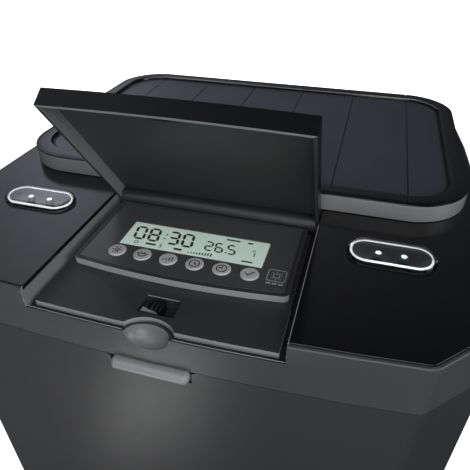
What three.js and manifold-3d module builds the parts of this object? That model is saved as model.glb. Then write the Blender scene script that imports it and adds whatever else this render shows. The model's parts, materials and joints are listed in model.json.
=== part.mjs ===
// Solar-topped automatic feeder: a food bin whose hinged top carries the controls and the solar panel.
//
// Every piece is drawn in millimetres in the deck frame: x to the right, y back from the middle of
// the front edge, z up from the deck's top face. The exported group then moves the whole model, so
// that its origin is at the bottom centre of its box.

import * as THREE from 'three';
import { mergeVertices } from 'three/addons/utils/BufferGeometryUtils.js';
import Module from 'manifold-3d';

const wasm = await Module();
wasm.setup();

// ---------------------------------------------------------------- driving dimensions

const GAP = 0.3; // clearance between pieces that touch
const WALL = 3; // casing wall

// Body
const BODY_HALF_WIDTH = 158;
const BODY_DEPTH = 320;
const BODY_HEIGHT = 290; // floor to deck
const TOP_DEPTH = 30; // deck down to the seam between top and bin
const FRONT_BOW = 0.00037; // the front edge is y = FRONT_BOW * x * x
const FRONT_CHAMFER = 33; // slanted front corners, across each way
const CHAMFER_FRONT_RADIUS = 8;
const CHAMFER_SIDE_RADIUS = 16;
const REAR_TAPER = 9.8; // the sides come in by this much towards the rear
const REAR_TAPER_LENGTH = 85;
const TAPER_RADIUS = 600;
const REAR_CORNER_RADIUS = 34;

// Deck and the rim around it
const DECK_THICKNESS = 2;
const RIM_WIDTH = 2;
const RIM_DROP = 0.4; // the rim's top lies below the deck's top by this much
const ROOF_THICKNESS = 2.5;

// Control bay
const BAY_HALF_WIDTH = 65;
const BAY_FLOOR_Z = -13.2;
const BAY_LIP_Z = -11.4;
const BAY_LIP_THICKNESS = 1.2;
const BAY_WALL = 2.5;
const SCOOP_HALF_WIDTH = 11.2; // finger scoop in the front wall, half of an ellipsoid
const SCOOP_DEPTH = 7.5;
const SCOOP_HEIGHT = 9;

// Control cover
const COVER_SIDE_GAP = 0.4;
const COVER_THICKNESS = 2;
const COVER_SKIRT = 9.6;
const COVER_SKIRT_THICKNESS = 1.8;
const COVER_BARREL_RADIUS = 5.9;
const COVER_AXIS_Z = -6.3;
const COVER_OPEN_ANGLE = 53.87; // degrees, as it stands at rest
const COVER_PIN_RADIUS = 1.5;
const COVER_PIN_REACH = 5;

// Tray and display module
const TRAY_SIDE_GAP = 3.5; // groove for the cover's skirt
const TRAY_FRONT_GAP = 3.9;
const TRAY_TOP_Z = -9.6;
const SCOOP_GROOVE = 1.4;
const MODULE_HALF_WIDTH = 59.5;
const MODULE_FRONT = 33.4;
const MODULE_BOW = 0.0011;
const MODULE_DEPTH = 65;
const MODULE_TOP_Z = -5.4;
const MODULE_CORNER_RADIUS = 4;
const OVERLAY_THICKNESS = 0.8;
const OVERLAY_BORDER = 2.7;
const LCD_HALF_WIDTH = 41.1;
const LCD_FRONT = 56;
const LCD_DEPTH = 22.4;
const KEY_COUNT = 6;
const KEY_PITCH = 15.05;
const KEY_RADIUS = 5;
const KEY_ROW_X = -1.15;
const KEY_ROW_Y = 49.1;
const KEY_PROUD = 0.6;
const KEY_STEM = 3.9;

// Power switch
const SWITCH_POCKET = { left: -10.6, right: 8.7, front: 12.5, back: 25.5 };
const KNOB_HALF_WIDTH = 3.4;
const KNOB_DEPTH = 7.4;
const KNOB_X = -2.6;
const KNOB_TOP_Z = -10.2;
const SWITCH_HEIGHT = 7;

// Light windows
const LENS_HALF_LENGTH = 23;
const LENS_HALF_WIDTH = 10.5;
const LENS_INBOARD = 6; // towards the middle from halfway between bay and side
const LENS_Y = 77.5;
const LENS_HEIGHT = 3.5;
const LENS_WALL = 2;
const LED_SPACING = 13;
const LED_RADIUS = 2.4;

// Solar lid
const LID_FRONT = 113.5;
const LID_SIDE_MARGIN = 10;
const LID_REAR_MARGIN = 10;
const LID_CORNER_RADIUS = 36;
const LID_WALL_HEIGHT = 10.4;
const LID_WALL = 3;
const FRAME_WIDTH = 11;
const FRAME_RISE = 1.3;
const GLASS_THICKNESS = 1.1;
const GLASS_DROP = 1.1; // below the frame's crest
const PANEL_PLATE_THICKNESS = 2.5;
const CELL_COLUMNS = 5;
const END_CELL_WIDTH = 24.4;
const CELL_GAP = 1;
const CELL_BORDER = 1.5;
const CELL_THICKNESS = 0.4;

// Latch
const LATCH_HALF_WIDTH = 20.5;
const LATCH_HEIGHT = 7;
const LATCH_REACH = 4;
const LATCH_TRAVEL = 2.5;
const LATCH_PAD_DEPTH = 9;
const LATCH_NOTCH = 6.5; // length of the tapered notch beside the bar

// Rear hinge
const HINGE_RADIUS = 3.5;
const HINGE_PIN_RADIUS = 1.5;
const HINGE_X = 95;
const HINGE_KNUCKLE = 14;

// Underside plate, hopper and its gasket
const UNDERSIDE_THICKNESS = 2.3;
const HOPPER_FLANGE_Z = -34;
const HOPPER_WALL = 2;
const HOPPER_FRONT = 42;
const HOPPER_MARGIN = 26;
const HOPPER_STRAIGHT = 68;
const HOPPER_FUNNEL = 54;
const GASKET_WIDTH = 3;
const GASKET_INSET = 5;

// Dosing drum and thrower
const DRUM_Y = 80;
const DRUM_RADIUS = 30;
const DRUM_WALL = 2.5;
const DRUM_HALF_LENGTH = 32;
const THROAT_HALF_WIDTH = 22;
const THROAT_HALF_DEPTH = 20;
const ROTOR_BLADES = 6;
const ROTOR_HUB_RADIUS = 7;
const SHAFT_RADIUS = 2.5;
const THROWER_RADIUS = 52;
const THROWER_VANES = 6;
const THROWER_WALL = 2.5;
const THROWER_CLEARANCE = 4;
const OUTLET_LOW = 38; // the outlet's edges, above the floor
const OUTLET_HIGH = 68;

// Base
const FOOT_HEIGHT = 5.7;
const FOOT_RADIUS = 15;
const BASE_THICKNESS = 3.7;
const SCREW_RADIUS = 1.5;
const SCREW_HEAD_RADIUS = 3.5;
const SCREW_BOSS_RADIUS = 5;
const SOCKET_RADIUS = 7;

// ---------------------------------------------------------------- derived places

const SEAM_Z = -TOP_DEPTH;
const FLOOR_Z = -BODY_HEIGHT;
const BASE_LOW = FLOOR_Z + FOOT_HEIGHT + GAP;
const BIN_LOW = BASE_LOW + BASE_THICKNESS + GAP;
const CHAMFER_X = BODY_HALF_WIDTH - FRONT_CHAMFER;
const BAY_BACK = LID_FRONT - GAP;
const COVER_AXIS_Y = BAY_BACK - COVER_BARREL_RADIUS - 0.7;
const COVER_HALF_WIDTH = BAY_HALF_WIDTH - COVER_SIDE_GAP;
const TRAY_HALF_WIDTH = BAY_HALF_WIDTH - TRAY_SIDE_GAP;
const TRAY_BACK = COVER_AXIS_Y - COVER_BARREL_RADIUS - 1.2;
const TRAY_LOW = BAY_FLOOR_Z + GAP;
const MODULE_LOW = TRAY_TOP_Z + GAP;
const OVERLAY_LOW = MODULE_TOP_Z - OVERLAY_THICKNESS;
const CASE_TOP = OVERLAY_LOW - GAP;
const MODULE_BACK = MODULE_FRONT + MODULE_DEPTH;
const LENS_X = (BAY_HALF_WIDTH + BODY_HALF_WIDTH) / 2 - LENS_INBOARD;
const ROOF_TOP = -DECK_THICKNESS - GAP;
const ROOF_LOW = ROOF_TOP - ROOF_THICKNESS;
const LID_HALF_WIDTH = BODY_HALF_WIDTH - LID_SIDE_MARGIN;
const LID_BACK = BODY_DEPTH - LID_REAR_MARGIN;
const FRAME_LOW = LID_WALL_HEIGHT + GAP;
const FRAME_TOP = FRAME_LOW + FRAME_RISE;
const GLASS_TOP = FRAME_TOP - GLASS_DROP;
const GLASS_LOW = GLASS_TOP - GLASS_THICKNESS;
const CELL_LOW = GLASS_LOW - GAP - CELL_THICKNESS;
const PANEL_PLATE_TOP = CELL_LOW - GAP;
const HINGE_Y = BODY_DEPTH + HINGE_RADIUS + GAP;
const DRUM_Z = FLOOR_Z + OUTLET_HIGH + 2 + DRUM_RADIUS + 2 * GAP;
const HOPPER_BOTTOM = DRUM_Z + DRUM_RADIUS + GAP;
const HOPPER_FUNNEL_TOP = HOPPER_BOTTOM + HOPPER_FUNNEL;
const HOPPER_BACK = BODY_DEPTH - HOPPER_MARGIN;
const HOPPER_HALF_WIDTH = BODY_HALF_WIDTH - HOPPER_MARGIN;
const THROWER_FLOOR = FLOOR_Z + OUTLET_LOW;
const OUTLET_HALF_WIDTH = THROWER_RADIUS + THROWER_CLEARANCE - 1;

// ---------------------------------------------------------------- solids

function toSolid(geometry) {
  const bare = geometry.index ? geometry.toNonIndexed() : geometry.clone();
  bare.deleteAttribute('normal');
  bare.deleteAttribute('uv');
  const merged = mergeVertices(bare, 1e-4);
  const vertProperties = new Float32Array(merged.attributes.position.array);
  const triVerts = new Uint32Array(merged.index.array);
  return new wasm.Manifold(new wasm.Mesh({ numProp: 3, vertProperties, triVerts }));
}

function toGeometry(solid) {
  const { vertProperties, triVerts } = solid.getMesh();
  const geometry = new THREE.BufferGeometry();
  geometry.setAttribute('position', new THREE.BufferAttribute(new Float32Array(vertProperties), 3));
  geometry.setIndex(new THREE.BufferAttribute(new Uint32Array(triVerts), 1));
  geometry.computeVertexNormals();
  return geometry;
}

function join(first, ...others) {
  return others.reduce((whole, other) => whole.add(other), first);
}

function cut(first, ...others) {
  return others.reduce((whole, other) => whole.subtract(other), first);
}

function block(left, right, front, back, low, high) {
  const geometry = new THREE.BoxGeometry(right - left, back - front, high - low);
  geometry.translate((left + right) / 2, (front + back) / 2, (low + high) / 2);
  return toSolid(geometry);
}

function prism(points, low, high) {
  const shape = new THREE.Shape(points);
  const geometry = new THREE.ExtrudeGeometry(shape, { depth: high - low, bevelEnabled: false });
  geometry.translate(0, 0, low);
  return toSolid(geometry);
}

// A profile of (y, z) points carried along x.
function profileAlongX(points, left, right) {
  const shape = new THREE.Shape(points);
  const geometry = new THREE.ExtrudeGeometry(shape, { depth: right - left, bevelEnabled: false });
  geometry.applyMatrix4(new THREE.Matrix4().set(0, 0, 1, left, 1, 0, 0, 0, 0, 1, 0, 0, 0, 0, 0, 1));
  return toSolid(geometry);
}

function rodZ(x, y, radius, low, high, sides = 16) {
  const geometry = new THREE.CylinderGeometry(radius, radius, high - low, sides);
  geometry.rotateX(Math.PI / 2);
  geometry.translate(x, y, (low + high) / 2);
  return toSolid(geometry);
}

function rodX(left, right, y, z, radius, sides = 20) {
  const geometry = new THREE.CylinderGeometry(radius, radius, right - left, sides);
  geometry.rotateZ(Math.PI / 2);
  geometry.translate((left + right) / 2, y, z);
  return toSolid(geometry);
}

// A closed solid through outlines of equal length, each at its own height.
function loft(layers) {
  const count = layers[0].points.length;
  const positions = [];
  const faces = [];
  layers.forEach(({ points, z }) => points.forEach((p) => positions.push(p.x, p.y, z)));
  for (let layer = 0; layer + 1 < layers.length; layer += 1) {
    for (let i = 0; i < count; i += 1) {
      const here = layer * count + i;
      const next = layer * count + ((i + 1) % count);
      faces.push(here, next, next + count, here, next + count, here + count);
    }
  }
  const last = (layers.length - 1) * count;
  THREE.ShapeUtils.triangulateShape(layers[0].points, []).forEach(([a, b, c]) => faces.push(a, c, b));
  THREE.ShapeUtils.triangulateShape(layers[layers.length - 1].points, []).forEach(([a, b, c]) => {
    faces.push(last + a, last + b, last + c);
  });
  const geometry = new THREE.BufferGeometry();
  geometry.setAttribute('position', new THREE.Float32BufferAttribute(positions, 3));
  geometry.setIndex(faces);
  return toSolid(geometry);
}

// ---------------------------------------------------------------- outlines, counter-clockwise from above

function bow(x, curve = FRONT_BOW) {
  return curve * x * x;
}

// The same corners moved inwards by one distance, with their radii made smaller to match.
function insetCorners(corners, inset) {
  return corners.map((corner, i) => {
    const before = corners[(i + corners.length - 1) % corners.length].point;
    const after = corners[(i + 1) % corners.length].point;
    const into = corner.point.clone().sub(before).normalize();
    const out = after.clone().sub(corner.point).normalize();
    const normals = new THREE.Vector2(-into.y - out.y, into.x + out.x);
    const point = corner.point.clone().addScaledVector(normals, inset / (1 + into.dot(out)));
    const radius = corner.radius > 0 ? Math.max(corner.radius - inset, 0.5) : 0;
    return { ...corner, point, radius };
  });
}

function roundCorners(corners) {
  return corners.flatMap(({ point, radius, steps }, i) => {
    if (!(radius > 0)) {
      return [point.clone()];
    }
    const before = corners[(i + corners.length - 1) % corners.length].point;
    const after = corners[(i + 1) % corners.length].point;
    const a = before.clone().sub(point).normalize();
    const b = after.clone().sub(point).normalize();
    const half = Math.acos(a.dot(b)) / 2;
    const middle = a.clone().add(b).normalize();
    const centre = point.clone().addScaledVector(middle, radius / Math.sin(half));
    const start = point.clone().addScaledVector(a, radius / Math.tan(half)).sub(centre);
    const sweep = Math.PI - 2 * half;
    return Array.from({ length: steps + 1 }, (_, k) => {
      return start.clone().rotateAround(new THREE.Vector2(), (sweep * k) / steps).add(centre);
    });
  });
}

function outlineOf(corners, inset = 0) {
  return roundCorners(insetCorners(corners, inset));
}

function corner(x, y, radius = 0, steps = 4) {
  return { point: new THREE.Vector2(x, y), radius, steps };
}

// The bowed stretch of a front edge, from left to right.
function bowedEdge(halfWidth, front, curve, segments) {
  return Array.from({ length: segments + 1 }, (_, i) => {
    const x = halfWidth * ((2 * i) / segments - 1);
    return corner(x, front + bow(x, curve));
  });
}

function bodyCorners() {
  const chamferFront = bow(CHAMFER_X);
  const front = bowedEdge(CHAMFER_X, 0, FRONT_BOW, 8);
  front[0] = corner(-CHAMFER_X, chamferFront, CHAMFER_FRONT_RADIUS, 2);
  front[front.length - 1] = corner(CHAMFER_X, chamferFront, CHAMFER_FRONT_RADIUS, 2);
  const right = [
    corner(BODY_HALF_WIDTH, chamferFront + FRONT_CHAMFER, CHAMFER_SIDE_RADIUS, 2),
    corner(BODY_HALF_WIDTH, BODY_DEPTH - REAR_TAPER_LENGTH, TAPER_RADIUS, 2),
    corner(BODY_HALF_WIDTH - REAR_TAPER, BODY_DEPTH, REAR_CORNER_RADIUS, 6),
  ];
  const left = right.map((c) => corner(-c.point.x, c.point.y, c.radius, c.steps)).reverse();
  return [...front, ...right, ...left];
}

function bodyOutline(inset = 0) {
  return outlineOf(bodyCorners(), inset);
}

function rectCorners(left, right, front, back, radius, steps = 5) {
  return [
    corner(left, front, radius, steps),
    corner(right, front, radius, steps),
    corner(right, back, radius, steps),
    corner(left, back, radius, steps),
  ];
}

function lidOutline(inset = 0) {
  const corners = rectCorners(-LID_HALF_WIDTH, LID_HALF_WIDTH, LID_FRONT, LID_BACK, LID_CORNER_RADIUS);
  return outlineOf(corners, inset);
}

function capsule(x, y, halfLength, halfWidth, steps = 6) {
  const end = halfLength - halfWidth;
  return Array.from({ length: 2 * steps + 2 }, (_, i) => {
    const right = i <= steps;
    const angle = right ? -Math.PI / 2 + (Math.PI * i) / steps : Math.PI / 2 + (Math.PI * (i - steps - 1)) / steps;
    const centre = x + (right ? end : -end);
    return new THREE.Vector2(centre + halfWidth * Math.cos(angle), y + halfWidth * Math.sin(angle));
  });
}

function ellipse(x, y, halfX, halfY, sides = 28) {
  return Array.from({ length: sides }, (_, i) => {
    const angle = (2 * Math.PI * i) / sides;
    return new THREE.Vector2(x + halfX * Math.cos(angle), y + halfY * Math.sin(angle));
  });
}

function bowedPlate(halfWidth, front, back, curve, inset = 0, radius = 0) {
  const corners = bowedEdge(halfWidth, front, curve, 6);
  if (radius > 0) {
    corners[0] = corner(-halfWidth, front + bow(halfWidth, curve), radius, 4);
    corners[corners.length - 1] = corner(halfWidth, front + bow(halfWidth, curve), radius, 4);
  }
  corners.push(corner(halfWidth, back), corner(-halfWidth, back));
  return outlineOf(corners, inset);
}

// ---------------------------------------------------------------- meshes and finishes

const FINISHES = {
  satin_charcoal: { color: 0x3c3d3f, roughness: 0.45, metalness: 0 },
  gloss_black: { color: 0x141516, roughness: 0.12, metalness: 0 },
  satin_grey: { color: 0x6c6d70, roughness: 0.4, metalness: 0 },
  dark_plastic: { color: 0x2d2e30, roughness: 0.5, metalness: 0 },
  overlay: { color: 0x38393a, roughness: 0.25, metalness: 0 },
  lcd: { color: 0xb9cdc3, roughness: 0.2, metalness: 0 },
  key_grey: { color: 0x8b8d8f, roughness: 0.5, metalness: 0 },
  solar_cell: { color: 0x33343f, roughness: 0.25, metalness: 0.1 },
  clear: { color: 0xe8eef0, roughness: 0.05, metalness: 0 },
  board: { color: 0x1f5a3a, roughness: 0.6, metalness: 0 },
  led_white: { color: 0xf4f4ee, roughness: 0.3, metalness: 0 },
  steel: { color: 0xb0b3b6, roughness: 0.3, metalness: 1 },
  rubber: { color: 0x1b1b1c, roughness: 0.9, metalness: 0 },
  hopper_white: { color: 0xd9dbd8, roughness: 0.5, metalness: 0 },
  battery: { color: 0x2f4f7a, roughness: 0.5, metalness: 0 },
};

function piece(name, solid, finish) {
  const mesh = new THREE.Mesh(toGeometry(solid), new THREE.MeshStandardMaterial(FINISHES[finish]));
  mesh.name = name;
  return mesh;
}

// ---------------------------------------------------------------- top: housing and deck

// The oval hole, or the lens that fills it, over one pair of lights.
function lensOutline(side, inset) {
  return capsule(side * LENS_X, LENS_Y, LENS_HALF_LENGTH - inset, LENS_HALF_WIDTH - inset);
}

// One hinge's knuckles: the top's is the middle third, the bin's are the outer two.
function knuckle(left, right, low, high) {
  const web = block(left, right, BODY_DEPTH - WALL / 2, HINGE_Y, low, high);
  return join(rodX(left, right, HINGE_Y, SEAM_Z, HINGE_RADIUS), web);
}

function knuckleSpan(side, third) {
  const start = side * HINGE_X - 1.5 * HINGE_KNUCKLE + third * HINGE_KNUCKLE;
  return [start + GAP / 2, start + HINGE_KNUCKLE - GAP / 2];
}

function bayCut() {
  const above = 10;
  const open = block(-BAY_HALF_WIDTH, BAY_HALF_WIDTH, -above, BAY_BACK, BAY_LIP_Z, above);
  const outline = bowedPlate(BAY_HALF_WIDTH, BAY_LIP_THICKNESS, BAY_BACK, FRONT_BOW);
  const rimX = SCOOP_HALF_WIDTH + BAY_LIP_THICKNESS;
  const rimY = SCOOP_DEPTH + BAY_LIP_THICKNESS;
  const scoopRim = prism(ellipse(0, 0, rimX, rimY), BAY_FLOOR_Z - 1, BAY_LIP_Z);
  const groove = cut(prism(outline, BAY_FLOOR_Z, BAY_LIP_Z + 1), scoopRim);
  return join(open, groove);
}

function scoopCut() {
  const geometry = new THREE.SphereGeometry(1, 20, 12);
  geometry.rotateX(Math.PI / 2);
  geometry.scale(SCOOP_HALF_WIDTH, SCOOP_DEPTH, SCOOP_HEIGHT);
  geometry.translate(0, 0, BAY_LIP_Z);
  return toSolid(geometry);
}

function topHousing() {
  const low = SEAM_Z + GAP / 2;
  const shell = loft([
    { points: bodyOutline(0), z: low },
    { points: bodyOutline(0), z: -RIM_DROP - 1 },
    { points: bodyOutline(0.4), z: -RIM_DROP - 0.3 },
    { points: bodyOutline(1.1), z: -RIM_DROP },
  ]);
  const cavity = prism(bodyOutline(WALL), low - 1, ROOF_LOW);
  const seat = prism(bodyOutline(RIM_WIDTH), ROOF_TOP, 1);
  const inside = prism(bodyOutline(WALL / 2), SEAM_Z, 0);
  const tubHalf = BAY_HALF_WIDTH + BAY_WALL;
  const tub = block(-tubHalf, tubHalf, 0, BAY_BACK + BAY_WALL, BAY_FLOOR_Z - BAY_WALL, ROOF_LOW + 1);
  const padHigh = BAY_LIP_Z + BAY_WALL;
  const padLow = BAY_LIP_Z - SCOOP_HEIGHT - BAY_WALL;
  const scoopPad = block(-SCOOP_HALF_WIDTH - 3, SCOOP_HALF_WIDTH + 3, 0, SCOOP_DEPTH + 3, padLow, padHigh);
  const solid = join(cut(shell, cavity, seat), join(tub, scoopPad).intersect(inside));
  const boardHole = block(-boardHalf(), boardHalf(), 30, TRAY_BACK - 6, -60, BAY_FLOOR_Z + 1);
  const p = SWITCH_POCKET;
  const switchHole = block(p.left, p.right, p.front, p.back, -60, BAY_FLOOR_Z + 1);
  const lensHoles = [-1, 1].map((side) => prism(lensOutline(side, 2), ROOF_LOW - 1, ROOF_TOP + 1));
  const pinHoles = rodX(-tubHalf - 5, tubHalf + 5, COVER_AXIS_Y, COVER_AXIS_Z, COVER_PIN_RADIUS + GAP, 16);
  const opened = cut(solid, bayCut(), scoopCut(), boardHole, switchHole, ...lensHoles, pinHoles);
  const hinges = [-1, 1].map((side) => knuckle(...knuckleSpan(side, 1), low, SEAM_Z + HINGE_RADIUS));
  const bores = [-1, 1].map((side) => hingeBore(side));
  return piece('top_housing', cut(join(opened, ...hinges), ...bores), 'satin_charcoal');
}

function hingeBore(side) {
  const reach = 2 * HINGE_KNUCKLE;
  const middle = side * HINGE_X;
  return rodX(middle - reach, middle + reach, HINGE_Y, SEAM_Z, HINGE_PIN_RADIUS + GAP, 16);
}

function boardHalf() {
  return MODULE_HALF_WIDTH - 6;
}

function deckPlate() {
  const plate = prism(bodyOutline(RIM_WIDTH + GAP), -DECK_THICKNESS, 0);
  const bay = block(-BAY_HALF_WIDTH, BAY_HALF_WIDTH, -10, BAY_BACK, -10, 10);
  const holes = [-1, 1].map((side) => prism(lensOutline(side, -GAP), -10, 10));
  return piece('deck_plate', cut(plate, bay, ...holes), 'gloss_black');
}

function undersidePlate() {
  const low = SEAM_Z + GAP;
  const plate = prism(bodyOutline(WALL + GAP), low, low + UNDERSIDE_THICKNESS);
  return piece('underside_plate', plate, 'dark_plastic');
}

// The catch hangs from the underside plate into the latch's window.
function latchCatch() {
  const front = LATCH_PAD_DEPTH + 2;
  const top = SEAM_Z;
  const leg = block(-4, 4, front, front + 1.6, top - 8, top);
  const foot = block(-6, 6, front, front + 8, top - 1.6, top);
  const nose = block(-4, 4, front, front + 2.1, top - 8, top - 6.4);
  return piece('latch_catch', join(leg, foot, nose), 'steel');
}

function mainBoard() {
  const high = SEAM_Z + 6;
  const board = block(-58, 58, 24, 100, high - 1.6, high);
  const chip = block(-12, 12, 50, 70, high - 0.5, high + 2.4);
  const relay = block(24, 42, 76, 92, high - 0.5, high + 6);
  return piece('main_board', join(board, chip, relay), 'board');
}

// ---------------------------------------------------------------- control bay

function controlTray() {
  const front = TRAY_FRONT_GAP;
  const plate = prism(bowedPlate(TRAY_HALF_WIDTH, front, TRAY_BACK, FRONT_BOW), TRAY_LOW, TRAY_TOP_Z);
  const rimX = SCOOP_HALF_WIDTH + BAY_LIP_THICKNESS + SCOOP_GROOVE;
  const rimY = SCOOP_DEPTH + BAY_LIP_THICKNESS + SCOOP_GROOVE;
  const fingerArc = prism(ellipse(0, 0, rimX, rimY), -30, 10);
  const boardHole = block(-boardHalf(), boardHalf(), MODULE_FRONT + 7, TRAY_BACK - 6, -30, 10);
  const p = SWITCH_POCKET;
  const switchHole = block(p.left, p.right, p.front, p.back, -30, 10);
  return piece('control_tray', cut(plate, fingerArc, boardHole, switchHole), 'dark_plastic');
}

function moduleOutline(inset = 0) {
  return bowedPlate(MODULE_HALF_WIDTH, MODULE_FRONT, MODULE_BACK, MODULE_BOW, inset, MODULE_CORNER_RADIUS);
}

function keyX(index) {
  return KEY_ROW_X + (index - (KEY_COUNT - 1) / 2) * KEY_PITCH;
}

function keyHoles() {
  return Array.from({ length: KEY_COUNT }, (_, i) => rodZ(keyX(i), KEY_ROW_Y, KEY_RADIUS + GAP, -30, 10));
}

function lcdBlock(margin, low, high) {
  const back = LCD_FRONT + LCD_DEPTH + margin;
  return block(-LCD_HALF_WIDTH - margin, LCD_HALF_WIDTH + margin, LCD_FRONT - margin, back, low, high);
}

function moduleCase() {
  const rim = prism(moduleOutline(), MODULE_LOW, MODULE_TOP_Z);
  const seat = prism(moduleOutline(OVERLAY_BORDER - GAP), CASE_TOP, 10);
  const window = lcdBlock(GAP, -30, 10);
  return piece('module_case', cut(rim, seat, window, ...keyHoles()), 'satin_grey');
}

function moduleOverlay() {
  const sheet = prism(moduleOutline(OVERLAY_BORDER), OVERLAY_LOW, MODULE_TOP_Z);
  return piece('module_overlay', cut(sheet, lcdBlock(GAP, -30, 10), ...keyHoles()), 'overlay');
}

function lcdPanel() {
  return piece('lcd_panel', lcdBlock(0, MODULE_LOW - 0.3, MODULE_TOP_Z - 0.2), 'lcd');
}

function controlKey(index) {
  const high = MODULE_TOP_Z + KEY_PROUD;
  const body = rodZ(keyX(index), KEY_ROW_Y, KEY_RADIUS, high - KEY_STEM, high - 0.3);
  const face = rodZ(keyX(index), KEY_ROW_Y, KEY_RADIUS - 0.4, high - 1, high);
  return piece(KEY_NAMES[index], join(body, face), 'key_grey');
}

const KEY_NAMES = ['key_light', 'key_feed', 'key_volume', 'key_hour', 'key_minute', 'key_set'];

function keyBoard() {
  const high = MODULE_LOW - 1.1;
  const half = boardHalf() - 1;
  return piece('key_board', block(-half, half, MODULE_FRONT + 8, TRAY_BACK - 7, high - 1.6, high), 'board');
}

function switchBody() {
  const p = SWITCH_POCKET;
  const high = TRAY_LOW - 1;
  const shell = block(p.left + GAP, p.right - GAP, p.front + GAP, p.back - GAP, high - SWITCH_HEIGHT, high);
  const slot = block(p.left + 2, p.right - 2, p.front + 2, p.back - 2, high - 2, high + 1);
  return piece('switch_body', cut(shell, slot), 'dark_plastic');
}

function powerKnob() {
  const p = SWITCH_POCKET;
  const middle = (p.front + p.back) / 2;
  const low = TRAY_LOW - 1 - 2 + GAP;
  const front = middle - KNOB_DEPTH / 2;
  const knob = block(KNOB_X - KNOB_HALF_WIDTH, KNOB_X + KNOB_HALF_WIDTH, front, front + KNOB_DEPTH, low, KNOB_TOP_Z);
  return piece('power_knob', knob, 'gloss_black');
}

// ---------------------------------------------------------------- control cover

// Drawn shut, then moved so that its hinge axis is the group's own x axis.
function controlCoverSolid() {
  const half = COVER_HALF_WIDTH;
  const front = GAP / 2;
  const outer = bowedPlate(half, front, COVER_AXIS_Y, FRONT_BOW);
  const skirts = prism(outer, -COVER_SKIRT, 0);
  const t = COVER_SKIRT_THICKNESS;
  const hollow = prism(
    bowedPlate(half - t, front + t, COVER_AXIS_Y + 1, FRONT_BOW),
    -COVER_SKIRT - 1,
    -COVER_THICKNESS,
  );
  const barrel = rodX(-half, half, COVER_AXIS_Y, COVER_AXIS_Z, COVER_BARREL_RADIUS, 24);
  const nib = block(-7.5, 7.5, front + t - 0.5, front + t + 1.4, -7.2, -5.6);
  const bore = rodX(-half - 1, -half + COVER_PIN_REACH + 1, COVER_AXIS_Y, COVER_AXIS_Z, COVER_PIN_RADIUS + GAP, 16);
  const otherBore = rodX(half - COVER_PIN_REACH - 1, half + 1, COVER_AXIS_Y, COVER_AXIS_Z, COVER_PIN_RADIUS + GAP, 16);
  return cut(join(cut(skirts, hollow), barrel, nib), bore, otherBore);
}

function controlCover() {
  const mesh = piece('control_cover', controlCoverSolid(), 'gloss_black');
  mesh.position.set(0, -COVER_AXIS_Y, -COVER_AXIS_Z);
  const hinge = new THREE.Group();
  hinge.position.set(0, COVER_AXIS_Y, COVER_AXIS_Z);
  hinge.rotation.x = THREE.MathUtils.degToRad(-COVER_OPEN_ANGLE);
  hinge.add(mesh);
  return hinge;
}

function coverPin(side) {
  const inner = BAY_HALF_WIDTH - COVER_PIN_REACH;
  const outer = BAY_HALF_WIDTH + BAY_WALL + 1;
  const ends = [side * inner, side * outer].sort((a, b) => a - b);
  const name = side < 0 ? 'cover_pin_left' : 'cover_pin_right';
  return piece(name, rodX(ends[0], ends[1], COVER_AXIS_Y, COVER_AXIS_Z, COVER_PIN_RADIUS, 16), 'steel');
}

// ---------------------------------------------------------------- light windows

function lightLens(side) {
  const low = ROOF_TOP + GAP;
  const outer = loft([
    { points: lensOutline(side, 0), z: low },
    { points: lensOutline(side, 0), z: LENS_HEIGHT * 0.45 },
    { points: lensOutline(side, 1), z: LENS_HEIGHT * 0.85 },
    { points: lensOutline(side, 2.6), z: LENS_HEIGHT },
  ]);
  const hollow = prism(lensOutline(side, LENS_WALL), low - 1, LENS_HEIGHT - LENS_WALL);
  return piece(side < 0 ? 'light_lens_left' : 'light_lens_right', cut(outer, hollow), 'clear');
}

function lightBoard(side) {
  const high = ROOF_LOW - GAP;
  const x = side * LENS_X;
  const board = block(x - 22, x + 22, LENS_Y - 12, LENS_Y + 12, high - 1.6, high);
  const leds = [-0.5, 0.5].map((step) => {
    return rodZ(x + step * LED_SPACING, LENS_Y, LED_RADIUS, high - 0.5, 0.2, 16);
  });
  return piece(side < 0 ? 'light_board_left' : 'light_board_right', join(board, ...leds), 'led_white');
}

// ---------------------------------------------------------------- solar lid

function solarBase() {
  const outer = prism(lidOutline(), GAP, LID_WALL_HEIGHT);
  const above = prism(lidOutline(LID_WALL), PANEL_PLATE_TOP, LID_WALL_HEIGHT + 1);
  const below = prism(lidOutline(LID_WALL), GAP - 1, PANEL_PLATE_TOP - PANEL_PLATE_THICKNESS);
  return piece('solar_base', cut(outer, above, below), 'satin_grey');
}

function solarFrame() {
  const bevel = loft([
    { points: lidOutline(0), z: FRAME_LOW },
    { points: lidOutline(0), z: FRAME_LOW + 0.5 },
    { points: lidOutline(FRAME_WIDTH * 0.75), z: FRAME_TOP },
    { points: lidOutline(FRAME_WIDTH * 0.9), z: FRAME_TOP },
  ]);
  const collar = prism(lidOutline(LID_WALL + GAP), PANEL_PLATE_TOP + GAP, FRAME_LOW + 0.2);
  const window = prism(lidOutline(FRAME_WIDTH), 0, FRAME_TOP + 1);
  return piece('solar_frame', cut(join(bevel, collar), window), 'gloss_black');
}

function solarGlass() {
  return piece('solar_glass', prism(lidOutline(FRAME_WIDTH + GAP), GLASS_LOW, GLASS_TOP), 'clear');
}

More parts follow.
